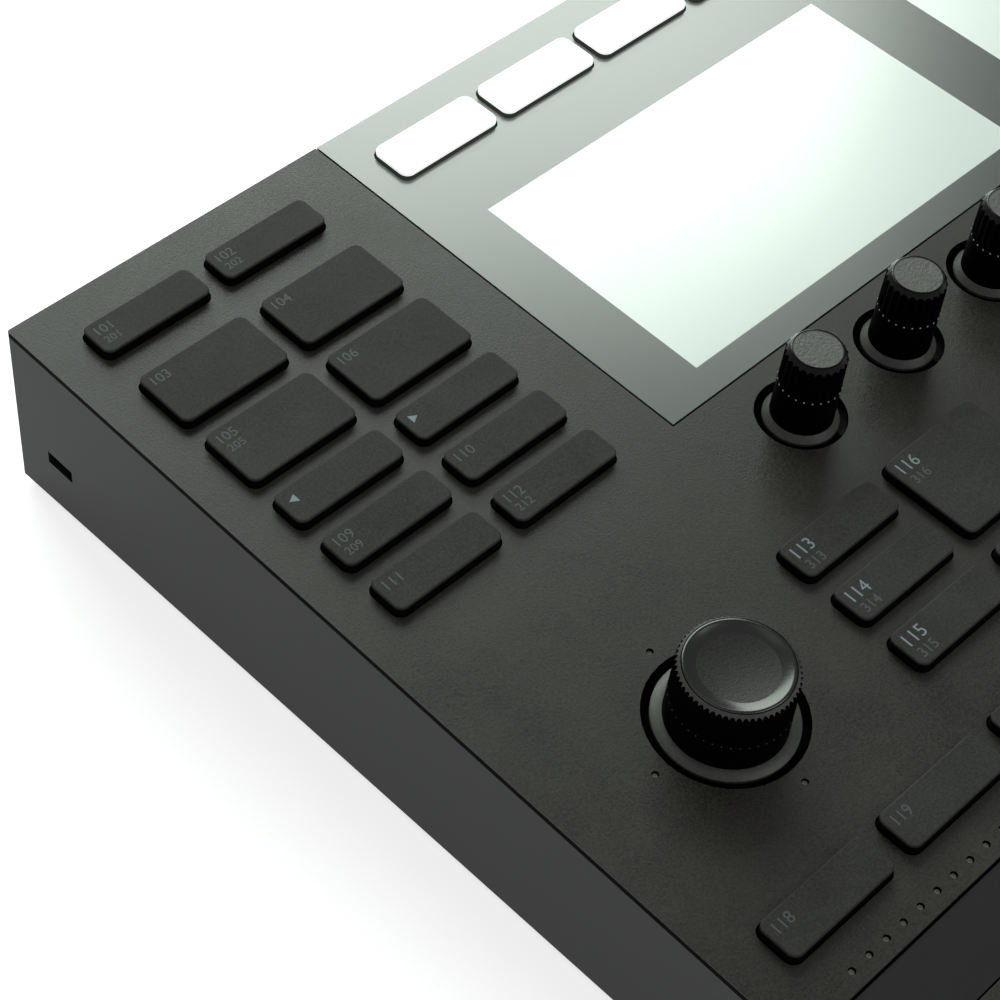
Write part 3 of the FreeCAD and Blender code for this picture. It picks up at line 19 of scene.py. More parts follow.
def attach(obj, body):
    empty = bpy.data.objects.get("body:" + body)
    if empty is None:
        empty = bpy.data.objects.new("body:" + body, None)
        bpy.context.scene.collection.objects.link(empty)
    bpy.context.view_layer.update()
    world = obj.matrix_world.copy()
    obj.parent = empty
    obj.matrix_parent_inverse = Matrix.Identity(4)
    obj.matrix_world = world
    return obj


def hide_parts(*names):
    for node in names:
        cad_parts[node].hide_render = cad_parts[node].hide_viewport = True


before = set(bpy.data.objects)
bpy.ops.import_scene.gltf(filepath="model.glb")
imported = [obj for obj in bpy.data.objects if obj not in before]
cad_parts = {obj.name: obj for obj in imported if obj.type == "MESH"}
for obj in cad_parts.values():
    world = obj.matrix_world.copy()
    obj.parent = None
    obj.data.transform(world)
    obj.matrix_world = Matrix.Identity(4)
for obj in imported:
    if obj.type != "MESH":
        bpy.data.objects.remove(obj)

LOG = logging.getLogger("pad_controller")
MM = 0.001
WELD = 0.0005
Pair = tuple[float, float]
Triple = tuple[float, float, float]
Colour = Triple
Profile = tuple[Pair, ...]
Term = NodeSocket | float | Triple


def linear(red: int, green: int, blue: int) -> Colour:
    """Turn an sRGB triple, from 0 to 255, linear.

    Args:
        red: the red channel.
        green: the green channel.
        blue: the blue channel.

    Returns:
        The linear colour.
    """
    def one(value: int) -> float:
        """Linear value of one channel."""
        share = value / 255
        return share / 12.92 if share <= 0.04045 else ((share + 0.055) / 1.055) ** 2.4
    return one(red), one(green), one(blue)


@dataclass(frozen=True)
class Deck:
    """The sloping deck plane and the way from its millimetres to the frame's metres."""

    tilt: float = math.radians(2.625011)
    depth: float = 301.0
    front_height: float = 25.6
    rear_height: float = 39.4
    foot_height: float = 1.6

    def matrix(self) -> Matrix:
        """Find the deck's place.

        Returns:
            The transform from deck millimetres to frame metres.
        """
        sine, cosine = math.sin(self.tilt), math.cos(self.tilt)
        lift = self.foot_height + self.depth / 2 * sine + self.front_height * cosine
        place = Matrix.Translation((0, -self.rear_height * sine / 2 * MM, lift * MM))
        return place @ self.turn() @ Matrix.Scale(MM, 4)

    def turn(self) -> Matrix:
        """Rotation from the deck's axes to the frame's axes."""
        return Matrix.Rotation(self.tilt, 4, "X")

    def point(self, x: float, y: float, z: float) -> Vector:
        """Frame position, in metres, of a point on the deck."""
        return self.matrix() @ Vector((x, y, z))

    def at(self, x: float, y: float, z: float = 0.0) -> Matrix:
        """Transform that puts a piece made round the Z axis at a place on the deck."""
        return self.matrix() @ Matrix.Translation((x, y, z))


DECK = Deck()


def add_object(name: str, data: bpy.types.ID) -> Object:
    """Add an object to the scene.

    Args:
        name: the object's name.
        data: its mesh, curve, light or camera.

    Returns:
        The object.
    """
    made = bpy.data.objects.new(name, data)
    bpy.context.scene.collection.objects.link(made)
    return made


def as_mesh(name: str, work: bmesh.types.BMesh) -> Mesh:
    """Turn a mesh in the making into a plain one.

    Args:
        name: the mesh's name.
        work: the mesh in the making, which is freed.

    Returns:
        The plain mesh.
    """
    data = bpy.data.meshes.new(name)
    work.to_mesh(data)
    work.free()
    return data


class NodeSheet:
    """A node tree with short calls that add nodes and join them."""

    PITCH = (190, 160)
    ROWS = 3
    MIX_SOCKETS = {"FLOAT": (2, 3, 0), "RGBA": (6, 7, 2)}

    def __init__(self, tree: NodeTree) -> None:
        """Keep the tree and count columns, so that the nodes stand side by side."""
        self.tree = tree
        self.column = 0

    def fill(self, node: Node, values: dict) -> None:
        """Set or join inputs of a node.

        Args:
            node: the node.
            values: sockets or constants for its inputs, by name or number.
        """
        for key, value in values.items():
            if isinstance(value, NodeSocket):
                self.tree.links.new(value, node.inputs[key])
            else:
                node.inputs[key].default_value = value

    def add(self, kind: str, values: dict | None = None, **settings: object) -> Node:
        """Add a node.

        Args:
            kind: Blender's name of the node type.
            values: sockets or constants for its inputs, by name or number.
            settings: attributes of the node.

        Returns:
            The new node.
        """
        node = self.tree.nodes.new(kind)
        node.location = (self.column * self.PITCH[0], -(self.column % self.ROWS) * self.PITCH[1])
        self.column += 1
        for name, value in settings.items():
            setattr(node, name, value)
        self.fill(node, values or {})
        return node

    def math(self, operation: str, *terms: Term) -> NodeSocket:
        """Result of a scalar operation on sockets or numbers."""
        return self.add("ShaderNodeMath", dict(enumerate(terms)), operation=operation).outputs[0]

    def vector(self, operation: str, *terms: Term) -> NodeSocket:
        """Result of a vector operation on sockets or constants."""
        node = self.add("ShaderNodeVectorMath", dict(enumerate(terms)), operation=operation)
        return node.outputs["Value" if operation == "DOT_PRODUCT" else "Vector"]

    def scale(self, vector: NodeSocket, factor: NodeSocket) -> NodeSocket:
        """A colour or vector times a number."""
        terms = {0: vector, "Scale": factor}
        return self.add("ShaderNodeVectorMath", terms, operation="SCALE").outputs[0]

    def spread(self, value: NodeSocket, low: float, high: float,
               start: float = 0.0, end: float = 1.0) -> NodeSocket:
        """Map value from low..high to start..end, held at both ends."""
        terms = dict(enumerate((value, low, high, start, end)))
        return self.add("ShaderNodeMapRange", terms).outputs[0]

    def mix(self, share: NodeSocket, first: Term, second: Term, kind: str = "RGBA"
            ) -> NodeSocket:
        """Blend two colours or two numbers.

        Args:
            share: how much of the second, from 0 to 1.
            first: a socket, or a constant colour.
            second: a socket, or a constant colour.
            kind: the Mix node's name for colours or numbers.

        Returns:
            The blend.
        """
        start, end, result = self.MIX_SOCKETS[kind]
        first, second = (term if isinstance(term, NodeSocket) else (*term, 1.0)
                         for term in (first, second))
        terms = {0: share, start: first, end: second}
        return self.add("ShaderNodeMix", terms, data_type=kind).outputs[result]


def new_material(name: str) -> tuple[Material, NodeSheet, Node]:
    """Make a node material.

    Args:
        name: the material's name.

    Returns:
        The material, the sheet of its tree and its shader.
    """
    material = bpy.data.materials.new(name)
    material.use_nodes = True
    tree = material.node_tree
    return material, NodeSheet(tree), tree.nodes["Principled BSDF"]


def feed_shader(sheet: NodeSheet, shader: Node, tree: NodeTree, values: dict,
                relief: Pair) -> Node:
    """Give a shader its colour, roughness and relief from a shared group.

    Args:
        sheet: the material's nodes.
        shader: the material's Principled shader.
        tree: the group, which takes a place and gives at least those three.
        values: the group's other inputs.
        relief: strength and depth of the bump.

    Returns:
        The group's node.
    """
    place = sheet.add("ShaderNodeTexCoord").outputs["Object"]
    group = sheet.add("ShaderNodeGroup", {"Place": place, **values}, node_tree=tree)
    bump = sheet.add("ShaderNodeBump", {"Strength": relief[0], "Distance": relief[1],
                                        "Height": group.outputs["Height"]})
    sheet.fill(shader, {"Base Color": group.outputs["Colour"], "Normal": bump.outputs[0],
                        "Roughness": group.outputs["Roughness"]})
    return group


def new_group(name: str, inputs: dict[str, str], outputs: dict[str, str]
              ) -> tuple[NodeSheet, bpy.types.NodeOutputs, Node]:
    """Make a shader group with named sockets.

    Args:
        name: the group's name.
        inputs: socket types by input name.
        outputs: socket types by output name.

    Returns:
        The sheet, the sockets that the group is given, and the node of what it makes.
    """
    tree = bpy.data.node_groups.new(name, "ShaderNodeTree")
    for side, sockets in (("INPUT", inputs), ("OUTPUT", outputs)):
        for label, kind in sockets.items():
            tree.interface.new_socket(label, in_out=side, socket_type=kind)
    sheet = NodeSheet(tree)
    return sheet, sheet.add("NodeGroupInput").outputs, sheet.add("NodeGroupOutput")


FLOAT, COLOUR, VECTOR = "NodeSocketFloat", "NodeSocketColor", "NodeSocketVector"
SURFACE_OUTPUTS = {"Colour": COLOUR, "Roughness": FLOAT, "Height": FLOAT}
GRAINED_OUTPUTS = {**SURFACE_OUTPUTS, "Metallic": FLOAT}


class SharedEffects:
    """Shader groups that several finishes use.

    The grain mixes fine and broad noise, and STRETCH draws the brushed lines along X.
    """

    FINE_SHARE = 0.65
    BROAD_SCALE = 0.03
    SIDE_DULLING = 0.5
    SPOT_EDGE = (0.16, 0.2)
    MASK_TO_TRACK_ROUGHNESS = (0.42, 0.3)
    STRETCH = (1.0, 14.0, 14.0)
    LINE_RANGE = (0.3, 0.7)
    LINE_FACTOR = (0.8, 1.2)

    def __init__(self, deck: Deck) -> None:
        """Build every group once.

        Args:
            deck: the plane that the height of a colour's change is taken from.
        """
        self.deck = deck
        self.grained = self.make_grained()
        self.board = self.make_board()
        self.brushed = self.make_brushed()

    def deck_height(self, sheet: NodeSheet, place: NodeSocket) -> NodeSocket:
        """Height of a place over the deck's top.

        Args:
            sheet: the tree that takes the nodes.
            place: a position in the frame, in metres.

        Returns:
            The height in millimetres.
        """
        normal = tuple(self.deck.turn() @ Vector((0, 0, 1)))
        away = sheet.vector("SUBTRACT", place, tuple(self.deck.point(0, 0, 0)))
        return sheet.math("MULTIPLY", sheet.vector("DOT_PRODUCT", away, normal), 1 / MM)

    def make_grained(self) -> NodeTree:
        """Fine grain with mottling, and a second, duller colour under a given height, which paints
        shade on sides and in hollows, or a painted reflection on a top.

        Returns:
            The shader group.
        """
        sheet, given, made = new_group(
            "GrainedSurface",
            {"Place": VECTOR, "Top": COLOUR, "Side": COLOUR, "Level": FLOAT, "Blend": FLOAT,
             "Scale": FLOAT, "Contrast": FLOAT, "Roughness": FLOAT, "Spread": FLOAT,
             "Metallic": FLOAT, "Side metallic": FLOAT},
            GRAINED_OUTPUTS)
        place, scale = given["Place"], given["Scale"]
        fine = sheet.add("ShaderNodeTexNoise", {"Vector": place, "Scale": scale, "Detail": 2.0,
                                                "Roughness": 0.7}).outputs[0]
        broad_scale = sheet.math("MULTIPLY", scale, self.BROAD_SCALE)
        broad = sheet.add("ShaderNodeTexNoise", {"Vector": place, "Scale": broad_scale,
                                                 "Detail": 3.0, "Roughness": 0.55}).outputs[0]
        # The height over the deck picks the top or side colour: painted shade or light by height.
        over = sheet.math("SUBTRACT", self.deck_height(sheet, place), given["Level"])
        share = sheet.add("ShaderNodeMath", {0: over, 1: given["Blend"]}, operation="DIVIDE",
                          use_clamp=True).outputs[0]
        grain = sheet.math("ADD", sheet.math("MULTIPLY", fine, self.FINE_SHARE),
                           sheet.math("MULTIPLY", broad, 1 - self.FINE_SHARE))
        swing = sheet.math("MULTIPLY", sheet.math("SUBTRACT", grain, 0.5), 2.0)
        factor = sheet.math("ADD", sheet.math("MULTIPLY", swing, given["Contrast"]), 1.0)
        rough = sheet.math("ADD", sheet.math("MULTIPLY", swing, given["Spread"]),
                           given["Roughness"])
        dull = sheet.spread(share, 0.0, 1.0, self.SIDE_DULLING, 0.0)
        sheet.fill(made, {
            "Colour": sheet.scale(sheet.mix(share, given["Side"], given["Top"]), factor),
            "Metallic": sheet.mix(share, given["Side metallic"], given["Metallic"], "FLOAT"),
            "Roughness": sheet.math("ADD", rough, dull), "Height": fine})
        return sheet.tree

    def make_board(self) -> NodeTree:
        """Solder mask with tracks and plated spots.

        Returns:
            The shader group.
        """
        sheet, given, made = new_group(
            "BoardTracks", {"Place": VECTOR, "Mask": COLOUR, "Track": COLOUR}, SURFACE_OUTPUTS)
        tracks = sheet.add("ShaderNodeTexBrick", {
            "Vector": given["Place"], "Scale": 55.0, "Mortar Size": 0.03, "Brick Width": 0.9,
            "Row Height": 0.2})
        spots = sheet.add("ShaderNodeTexVoronoi", {"Vector": given["Place"], "Scale": 260.0,
                                                   "Randomness": 0.35})
        dots = sheet.spread(spots.outputs["Distance"], *self.SPOT_EDGE, 1.0, 0.0)
        share = sheet.math("MAXIMUM", tracks.outputs["Fac"], dots)
        rough = sheet.spread(share, 0.0, 1.0, *self.MASK_TO_TRACK_ROUGHNESS)
        sheet.fill(made, {"Colour": sheet.mix(share, given["Mask"], given["Track"]),
                          "Roughness": rough, "Height": share})
        return sheet.tree

    def make_brushed(self) -> NodeTree:
        """Fine parallel lines of a turned or drawn metal.

        Returns:
            The shader group.
        """
        sheet, given, made = new_group(
            "BrushedMetal", {"Place": VECTOR, "Tone": COLOUR, "Roughness": FLOAT}, SURFACE_OUTPUTS)
        stretch = sheet.vector("MULTIPLY", given["Place"], self.STRETCH)
        lines = sheet.add("ShaderNodeTexNoise", {"Vector": stretch, "Scale": 420.0,
                                                 "Detail": 2.0}).outputs[0]
        factor = sheet.spread(lines, *self.LINE_RANGE, *self.LINE_FACTOR)
        sheet.fill(made, {"Colour": sheet.scale(given["Tone"], factor),
                          "Roughness": sheet.math("MULTIPLY", factor, given["Roughness"]),
                          "Height": lines})
        return sheet.tree


class Surface(Enum):
    """Which shared effect a finish is made with."""

    GRAINED = "grained"
    BOARD = "board"
    BRUSHED = "brushed"


@dataclass(frozen=True)
class Finish:
    """One finish of the controller's surfaces."""

    name: str
    top: Colour
    # Colour under level, in millimetres over the deck; most finishes use it for painted shade on
    # sides and in hollows.
    side: Colour | None = None
    surface: Surface = Surface.GRAINED
    level: float = -1000.0
    blend: float = 0.2
    scale: float = 900.0
    contrast: float = 0.1
    roughness: float = 0.5
    spread: float = 0.05
    metallic: float = 0.0
    side_metallic: float | None = None
    specular: float = 0.5
    coat: float = 0.0
    coat_roughness: float = 0.05
    bump: float = 0.1
    bump_depth: float = 0.00005
    glow: float = 0.0

    def make(self, effects: SharedEffects) -> Material:
        """Build the material.

        Args:
            effects: the shared shader groups.

        Returns:
            The node material.
        """
        material, sheet, shader = new_material(self.name)
        side = self.side or self.top
        if self.surface is Surface.GRAINED:
            values = {"Top": (*self.top, 1), "Side": (*side, 1), "Level": self.level,
                      "Blend": self.blend, "Scale": self.scale, "Contrast": self.contrast,
                      "Roughness": self.roughness, "Spread": self.spread,
                      "Metallic": self.metallic, "Side metallic": self.side_metallic or 0.0}
        elif self.surface is Surface.BOARD:
            values = {"Mask": (*self.top, 1), "Track": (*side, 1)}
        else:
            values = {"Tone": (*self.top, 1), "Roughness": self.roughness}
        group = feed_shader(sheet, shader, getattr(effects, self.surface.value), values,
                            (self.bump, self.bump_depth))
        metal = self.metallic if self.side_metallic is None else group.outputs["Metallic"]
        sheet.fill(shader, {"Metallic": metal, "Specular IOR Level": self.specular,
                            "Coat Weight": self.coat, "Coat Roughness": self.coat_roughness})
        # A glow on a part that is no lamp: painted reflection.
        if self.glow:
            sheet.fill(shader, {"Emission Color": group.outputs["Colour"],
                                "Emission Strength": self.glow})
        return material


@dataclass(frozen=True)
class DisplayGlass:
    """Glass over both displays: a black printed back and two windows, all with painted reflection.

    The back's print is painted grey-green, partly as a painted reflection of the bright
    surroundings, and the windows are pale and glow as painted reflection. Each window's glow
    falls off along a slanted line; fade_reach is how far, in metres, before and after the
    window's middle it does so, and fade what is left of it.
    """

    # Grey-green on the black print and the pale window tone: painted reflection of the bright
    # surroundings.
    border: Colour = linear(72, 79, 75)
    reflection_tone: Colour = (0.74, 0.83, 0.78)
    window: Pair = (95.04, 53.86)
    centres: tuple[Pair, ...] = ((-24.8, 89.8), (86.7, 89.8))
    soft_edge: float = 0.12
    roughness: float = 0.24
    ior: float = 2.2
    # Strength of the windows' glow, which is painted reflection.
    glow: float = 0.42
    fade: float = 0.50
    fade_slope: float = 3.0
    fade_reach: Pair = (0.07, 0.05)
    darkest: float = 0.97
    wave_scale: float = 6.0
    window_polish: float = 0.9
    relief: Pair = (0.03, 0.0001)

    def make(self, deck: Deck) -> Material:
        """Build the glass material.

        Args:
            deck: the plane that the windows are laid out on.

        Returns:
            The node material.
        """
        material, sheet, shader = new_material("display_glass")
        group = feed_shader(sheet, shader, self.windows(deck), {}, self.relief)
        # The windows' glow is painted reflection, not a lit display.
        sheet.fill(shader, {"Emission Color": group.outputs["Glow"], "IOR": self.ior,
                            "Emission Strength": self.glow})
        return material

    def windows(self, deck: Deck) -> NodeTree:
        """Make the group that tells the windows, with their painted reflection, from the printed
        border.

        Args:
            deck: the plane that the windows are laid out on.

        Returns:
            The shader group.
        """
        sheet, given, made = new_group("DisplayWindows", {"Place": VECTOR},
                                       {**SURFACE_OUTPUTS, "Glow": COLOUR})
        away = sheet.vector("SUBTRACT", given["Place"], tuple(deck.point(0, 0, 0)))
        across = sheet.add("ShaderNodeSeparateXYZ", {0: away}).outputs["X"]
        depth = sheet.vector("DOT_PRODUCT", away, tuple(deck.turn() @ Vector((0, 1, 0))))
        slanted = sheet.math("SUBTRACT", across, sheet.math("MULTIPLY", depth, self.fade_slope))
        shares, fades = [], []
        for x, y in self.centres:
            reach = []
            for value, middle, size in zip((across, depth), (x, y), self.window):
                gap = sheet.math("ABSOLUTE", sheet.math("SUBTRACT", value, middle * MM))
                reach.append(sheet.spread(gap, (size / 2 - self.soft_edge) * MM, size / 2 * MM,
                                          1.0, 0.0))
            shares.append(sheet.math("MULTIPLY", *reach))
            # The painted reflection falls off along a slanted line across each window.
            middle = (x - self.fade_slope * y) * MM
            fade = sheet.spread(slanted, middle - self.fade_reach[0],
                                middle + self.fade_reach[1], 1.0, self.fade)
            fades.append(sheet.math("MULTIPLY", shares[-1], fade))
        share = sheet.math("MAXIMUM", *shares)
        wave = sheet.add("ShaderNodeTexNoise", {"Vector": given["Place"], "Detail": 1.0,
                                                "Scale": self.wave_scale}).outputs[0]
        # Pale window tone with slow random waves: painted reflection.
        reflection_tone = sheet.mix(wave, tuple(self.darkest * c for c in self.reflection_tone), self.reflection_tone)
        sheet.fill(made, {
            "Colour": sheet.mix(share, self.border, reflection_tone),
            "Glow": sheet.scale(reflection_tone, sheet.math("MAXIMUM", *fades)),
            "Roughness": sheet.spread(share, 0, 1, self.roughness,
                                      self.roughness * self.window_polish),
            "Height": wave})
        return sheet.tree


@dataclass
class Paints:
    """Every finish by the name that the pieces ask for."""

    effects: SharedEffects
    made: dict[str, Material] = field(default_factory=dict)

    FINISHES = (
        # Near-black metal below 0.12 mm under the top: painted shade on the walls of the plate's
        # openings, and a near-black edge round the plate.
        Finish("deck_anodised", (0.0215, 0.0190, 0.0150), (0.001, 0.001, 0.001), level=-0.12,
               side_metallic=1.0, blend=0.06, scale=2300, contrast=1.5, roughness=0.42,
               spread=0.3, specular=0.54, bump=0.7),
        Finish("case_moulded", (0.013, 0.0138, 0.0140), scale=1800, contrast=0.8, specular=0.22,
               bump=0.12),
        # Near-black below 1.45 mm over the deck, blending to the top colour by 1.8 mm: painted
        # shade on the keys' sides.
        Finish("key_soft_touch", (0.051, 0.0500, 0.0490), (0.001, 0.001, 0.001), level=1.45,
               blend=0.35, scale=2200, contrast=1.0, roughness=0.55, specular=0.11, bump=0.5),
        # Display keys: the white, glowing top and upper side are painted reflection over a dark
        # lower side.
        Finish("key_painted_reflection", (0.88, 0.90, 0.89), (0.022, 0.026, 0.020), level=0.6, blend=0.1,
               scale=1500, contrast=0.02, roughness=0.4, bump=0.03, glow=0.85),
        # Half as dark below 1.8 mm over the deck: painted shade on the pads' sides and the mat
        # between them.
        Finish("pad_rubber", (0.012, 0.012, 0.012), (0.006, 0.006, 0.006), level=1.8, scale=1500,
               contrast=0.2, roughness=0.7, bump=0.2),
        Finish("touch_strip_smoked", (0.012, 0.012, 0.012), roughness=0.35, bump=0.05, coat=0.2),
        # Near-black below 0.9 mm under the deck: painted shade down the light pipes' holes.
        Finish("light_pipe", (0.21, 0.19, 0.16), (0.01, 0.01, 0.01), level=-0.9, contrast=0.15,
               roughness=0.3, coat=0.3),
        Finish("knob_rubber", (0.0012, 0.0012, 0.0012), scale=2500, contrast=0.3, roughness=0.6,
               specular=0.03),
        Finish("knob_top", (0.118, 0.118, 0.111), scale=1900, contrast=0.9, roughness=0.45,
               spread=0.15, bump=1.0, bump_depth=0.00012),
        Finish("knob_chamfer", (0.014, 0.014, 0.0135), scale=2500, contrast=0.6, roughness=0.24,
               metallic=0.5, bump=0.8),
        Finish("dial_chamfer", (0.13, 0.13, 0.126), scale=2500, contrast=0.4, roughness=0.30,
               metallic=0.7, bump=0.3),
        Finish("skirt_satin", (0.095, 0.095, 0.092), scale=1800, contrast=0.5, roughness=0.42,
               metallic=0.35, specular=0.2, bump=0.3),
        Finish("dish_floor", (0.014, 0.0135, 0.012), scale=1900, contrast=1.2, roughness=0.45,
               metallic=0.1, spread=0.3, bump=0.8),
        Finish("dish_bevel", (0.075, 0.078, 0.075), scale=1500, contrast=0.1, roughness=0.22,
               metallic=0.9, bump=0.05),
        # Pale and grey dots that stand for glints at the grooves' lower ends: painted highlights.
        Finish("knob_painted_glint", (0.55, 0.56, 0.55), roughness=0.4, bump=0.05),
        Finish("dial_painted_glint", (0.09, 0.09, 0.09), roughness=0.4, bump=0.05),
        Finish("legend_dim", linear(80, 88, 90), roughness=0.6),
        Finish("legend_clear", linear(136, 152, 158), roughness=0.6),
        # Near-black for parts down in the gaps: on the encoders' steel bushes and the white gimbal
        # parts it is painted shade.
        Finish("black_and_gap_shade", (0.003, 0.003, 0.003), contrast=0.2, roughness=0.7, specular=0.1),
        Finish("powder_coat", (0.010, 0.010, 0.010), scale=1200, contrast=0.3, roughness=0.6,
               bump=0.5, bump_depth=0.0001),
        Finish("black_moulded", (0.012, 0.012, 0.012), scale=1400, contrast=0.15, bump=0.2),
        Finish("socket_black", (0.010, 0.010, 0.010), roughness=0.3, bump=0.05),
        Finish("foot_rubber", (0.012, 0.012, 0.012), scale=1600, contrast=0.25, roughness=0.85,
               bump=0.4, bump_depth=0.0001),
        Finish("screw_zinc", (0.09, 0.09, 0.09), surface=Surface.BRUSHED, roughness=0.35,
               metallic=1.0),
        Finish("bright_steel", (0.45, 0.45, 0.44), surface=Surface.BRUSHED, roughness=0.28,
               metallic=1.0),
        Finish("circuit_board", (0.003, 0.004, 0.003), (0.012, 0.012, 0.009), surface=Surface.BOARD,
               bump=0.2),
        Finish("nylon", (0.60, 0.60, 0.57), scale=700, contrast=0.05, roughness=0.45),
        Finish("display_module", (0.30, 0.31, 0.31), surface=Surface.BRUSHED, roughness=0.4,
               metallic=0.6),
    )

    def __post_init__(self) -> None:
        """Make all the materials."""
        for finish in self.FINISHES:
            self.made[finish.name] = finish.make(self.effects)
        self.made["display_glass"] = DisplayGlass().make(self.effects.deck)

    def __getitem__(self, name: str) -> Material:
        """The material of that name."""
        return self.made[name]

    def dress(self, node: str, name: str) -> None:
        """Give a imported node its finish.

        Args:
            node: the node's name.
            name: the finish's name.
        """
        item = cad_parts[node]
        if not item.material_slots:
            item.data.materials.append(self.made[name])
        for slot in item.material_slots:
            slot.material = self.made[name]


@dataclass
class Piece:
    """A mesh in the making that becomes one riding object."""

    SHARP_ANGLE = 32.0

    name: str
    body: str
    mesh: bmesh.types.BMesh = field(default_factory=bmesh.new)
    materials: list[Material] = field(default_factory=list)

    def slot_of(self, material: Material) -> int:
        """Find a material's slot, or add one.

        Args:
            material: a material of the piece.

        Returns:
            The slot's number.
        """
        if material not in self.materials:
            self.materials.append(material)
        return self.materials.index(material)

    def add(self, other: Mesh, place: Matrix, material: Material,
            accent: Material | None = None,
            chosen: Callable[[int], bool] = lambda number: False) -> None:
        """Add a copy of a mesh.

        Args:
            other: the mesh, in millimetres.
            place: the way from its millimetres to the frame's metres.
            material: the material of its faces.
            accent: the material of some of them.
            chosen: tells from a face's number whether it has the accent.
        """
        slots = [self.slot_of(item) for item in (material, accent) if item]
        before = len(self.mesh.faces)
        copy = other.copy()
        copy.transform(place)
        self.mesh.from_mesh(copy)
        self.mesh.faces.ensure_lookup_table()
        for number, face in enumerate(self.mesh.faces[before:]):
            face.material_index = slots[chosen(number)]
        bpy.data.meshes.remove(copy)

    def finish(self, replaces: tuple[str, ...] = ()) -> Object:
        """Close the mesh into an object that rides on its body.

        Args:
            replaces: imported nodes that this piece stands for.

        Returns:
            The object, at the origin.
        """
        data = as_mesh(self.name, self.mesh)
        for material in self.materials:
            data.materials.append(material)
        data.shade_smooth()
        data.set_sharp_from_angle(angle=math.radians(self.SHARP_ANGLE))
        made = add_object(self.name, data)
        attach(made, self.body)
        if replaces:
            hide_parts(*replaces)
        LOG.info("%s: %d faces on %s", self.name, len(data.polygons), self.body)
        return made


def lathe(profile: Profile, steps: int) -> Mesh:
    """Mesh of a closed outline (radius, height) turned about Z.

    Args:
        profile: corners of the outline; a radius of 0 lies on the axis.
        steps: number of segments.

    Returns:
        A closed mesh with its faces outwards.
    """
    mesh = bmesh.new()
    rings = []
    for radius, height in profile:
        if radius == 0:
            rings.append([mesh.verts.new((0, 0, height))] * steps)
            continue
        turns = (2 * math.pi * index / steps for index in range(steps))
        rings.append([mesh.verts.new((radius * math.cos(a), radius * math.sin(a), height))
                      for a in turns])
    count = len(rings)
    for index in range(count):
        low, high = rings[index], rings[(index + 1) % count]
        if low[0] is low[1] and high[0] is high[1]:
            continue
        for step in range(steps):
            after = (step + 1) % steps
            corners = [low[step], low[after], high[after], high[step]]
            mesh.faces.new(list(dict.fromkeys(corners)))
    bmesh.ops.recalc_face_normals(mesh, faces=mesh.faces)
    return as_mesh("turned", mesh)


class Repeater:
    """A Geometry Nodes tree that copies a seed mesh on a ring, and the step that runs it."""

    INPUTS = {"Seed mesh": "NodeSocketGeometry", "Count": "NodeSocketInt", "Start": FLOAT,
              "Finish": "NodeSocketMaterial"}

    def __init__(self) -> None:
        """Build the tree once."""
        self.tree = self.make_tree()

    def make_tree(self) -> NodeTree:
        """Tree that copies the seed on a ring about Z and gives the copies one material.

        Returns:
            The Geometry Nodes tree.
        """
        tree = bpy.data.node_groups.new("CopiesOnARing", "GeometryNodeTree")
        for label, kind in self.INPUTS.items():
            tree.interface.new_socket(label, in_out="INPUT", socket_type=kind)
        tree.interface.new_socket("Copies", in_out="OUTPUT", socket_type="NodeSocketGeometry")
        sheet = NodeSheet(tree)
        given = sheet.add("NodeGroupInput").outputs
        line = sheet.add("GeometryNodeMeshLine", {"Count": given["Count"],
                                                  "Offset": (0.0, 0.0, 0.0)})
        index = sheet.add("GeometryNodeInputIndex").outputs[0]
        pitch = sheet.math("DIVIDE", 2 * math.pi, given["Count"])
        angle = sheet.math("ADD", sheet.math("MULTIPLY", index, pitch), given["Start"])
        turn = sheet.add("ShaderNodeCombineXYZ", {"Z": angle})
        copies = sheet.add("GeometryNodeInstanceOnPoints", {
            "Points": line.outputs[0], "Instance": given["Seed mesh"],
            "Rotation": turn.outputs[0]})
        real = sheet.add("GeometryNodeRealizeInstances", {0: copies.outputs[0]})
        coat = sheet.add("GeometryNodeSetMaterial", {0: real.outputs[0],
                                                     "Material": given["Finish"]})
        sheet.add("NodeGroupOutput", {0: coat.outputs[0]})
        return tree

    def run(self, seed: Mesh, **values: object) -> Mesh:
        """Repeat a mesh.

        Args:
            seed: the mesh that is repeated.
            values: the tree's inputs by name.

        Returns:
            A plain mesh of all the copies.
        """
        carrier = add_object("seed", seed)
        step = carrier.modifiers.new("Copies", "NODES")
        step.node_group = self.tree
        for item in self.tree.interface.items_tree:
            if item.name in values:
                step[item.identifier] = values[item.name]
        graph = bpy.context.evaluated_depsgraph_get()
        made = bpy.data.meshes.new_from_object(carrier.evaluated_get(graph))
        carrier.modifiers.remove(step)
        bpy.data.objects.remove(carrier)
        return made


@dataclass(frozen=True)
class Workshop:
    """What every sub-assembly is made with."""

    deck: Deck
    paints: Paints
    repeater: Repeater


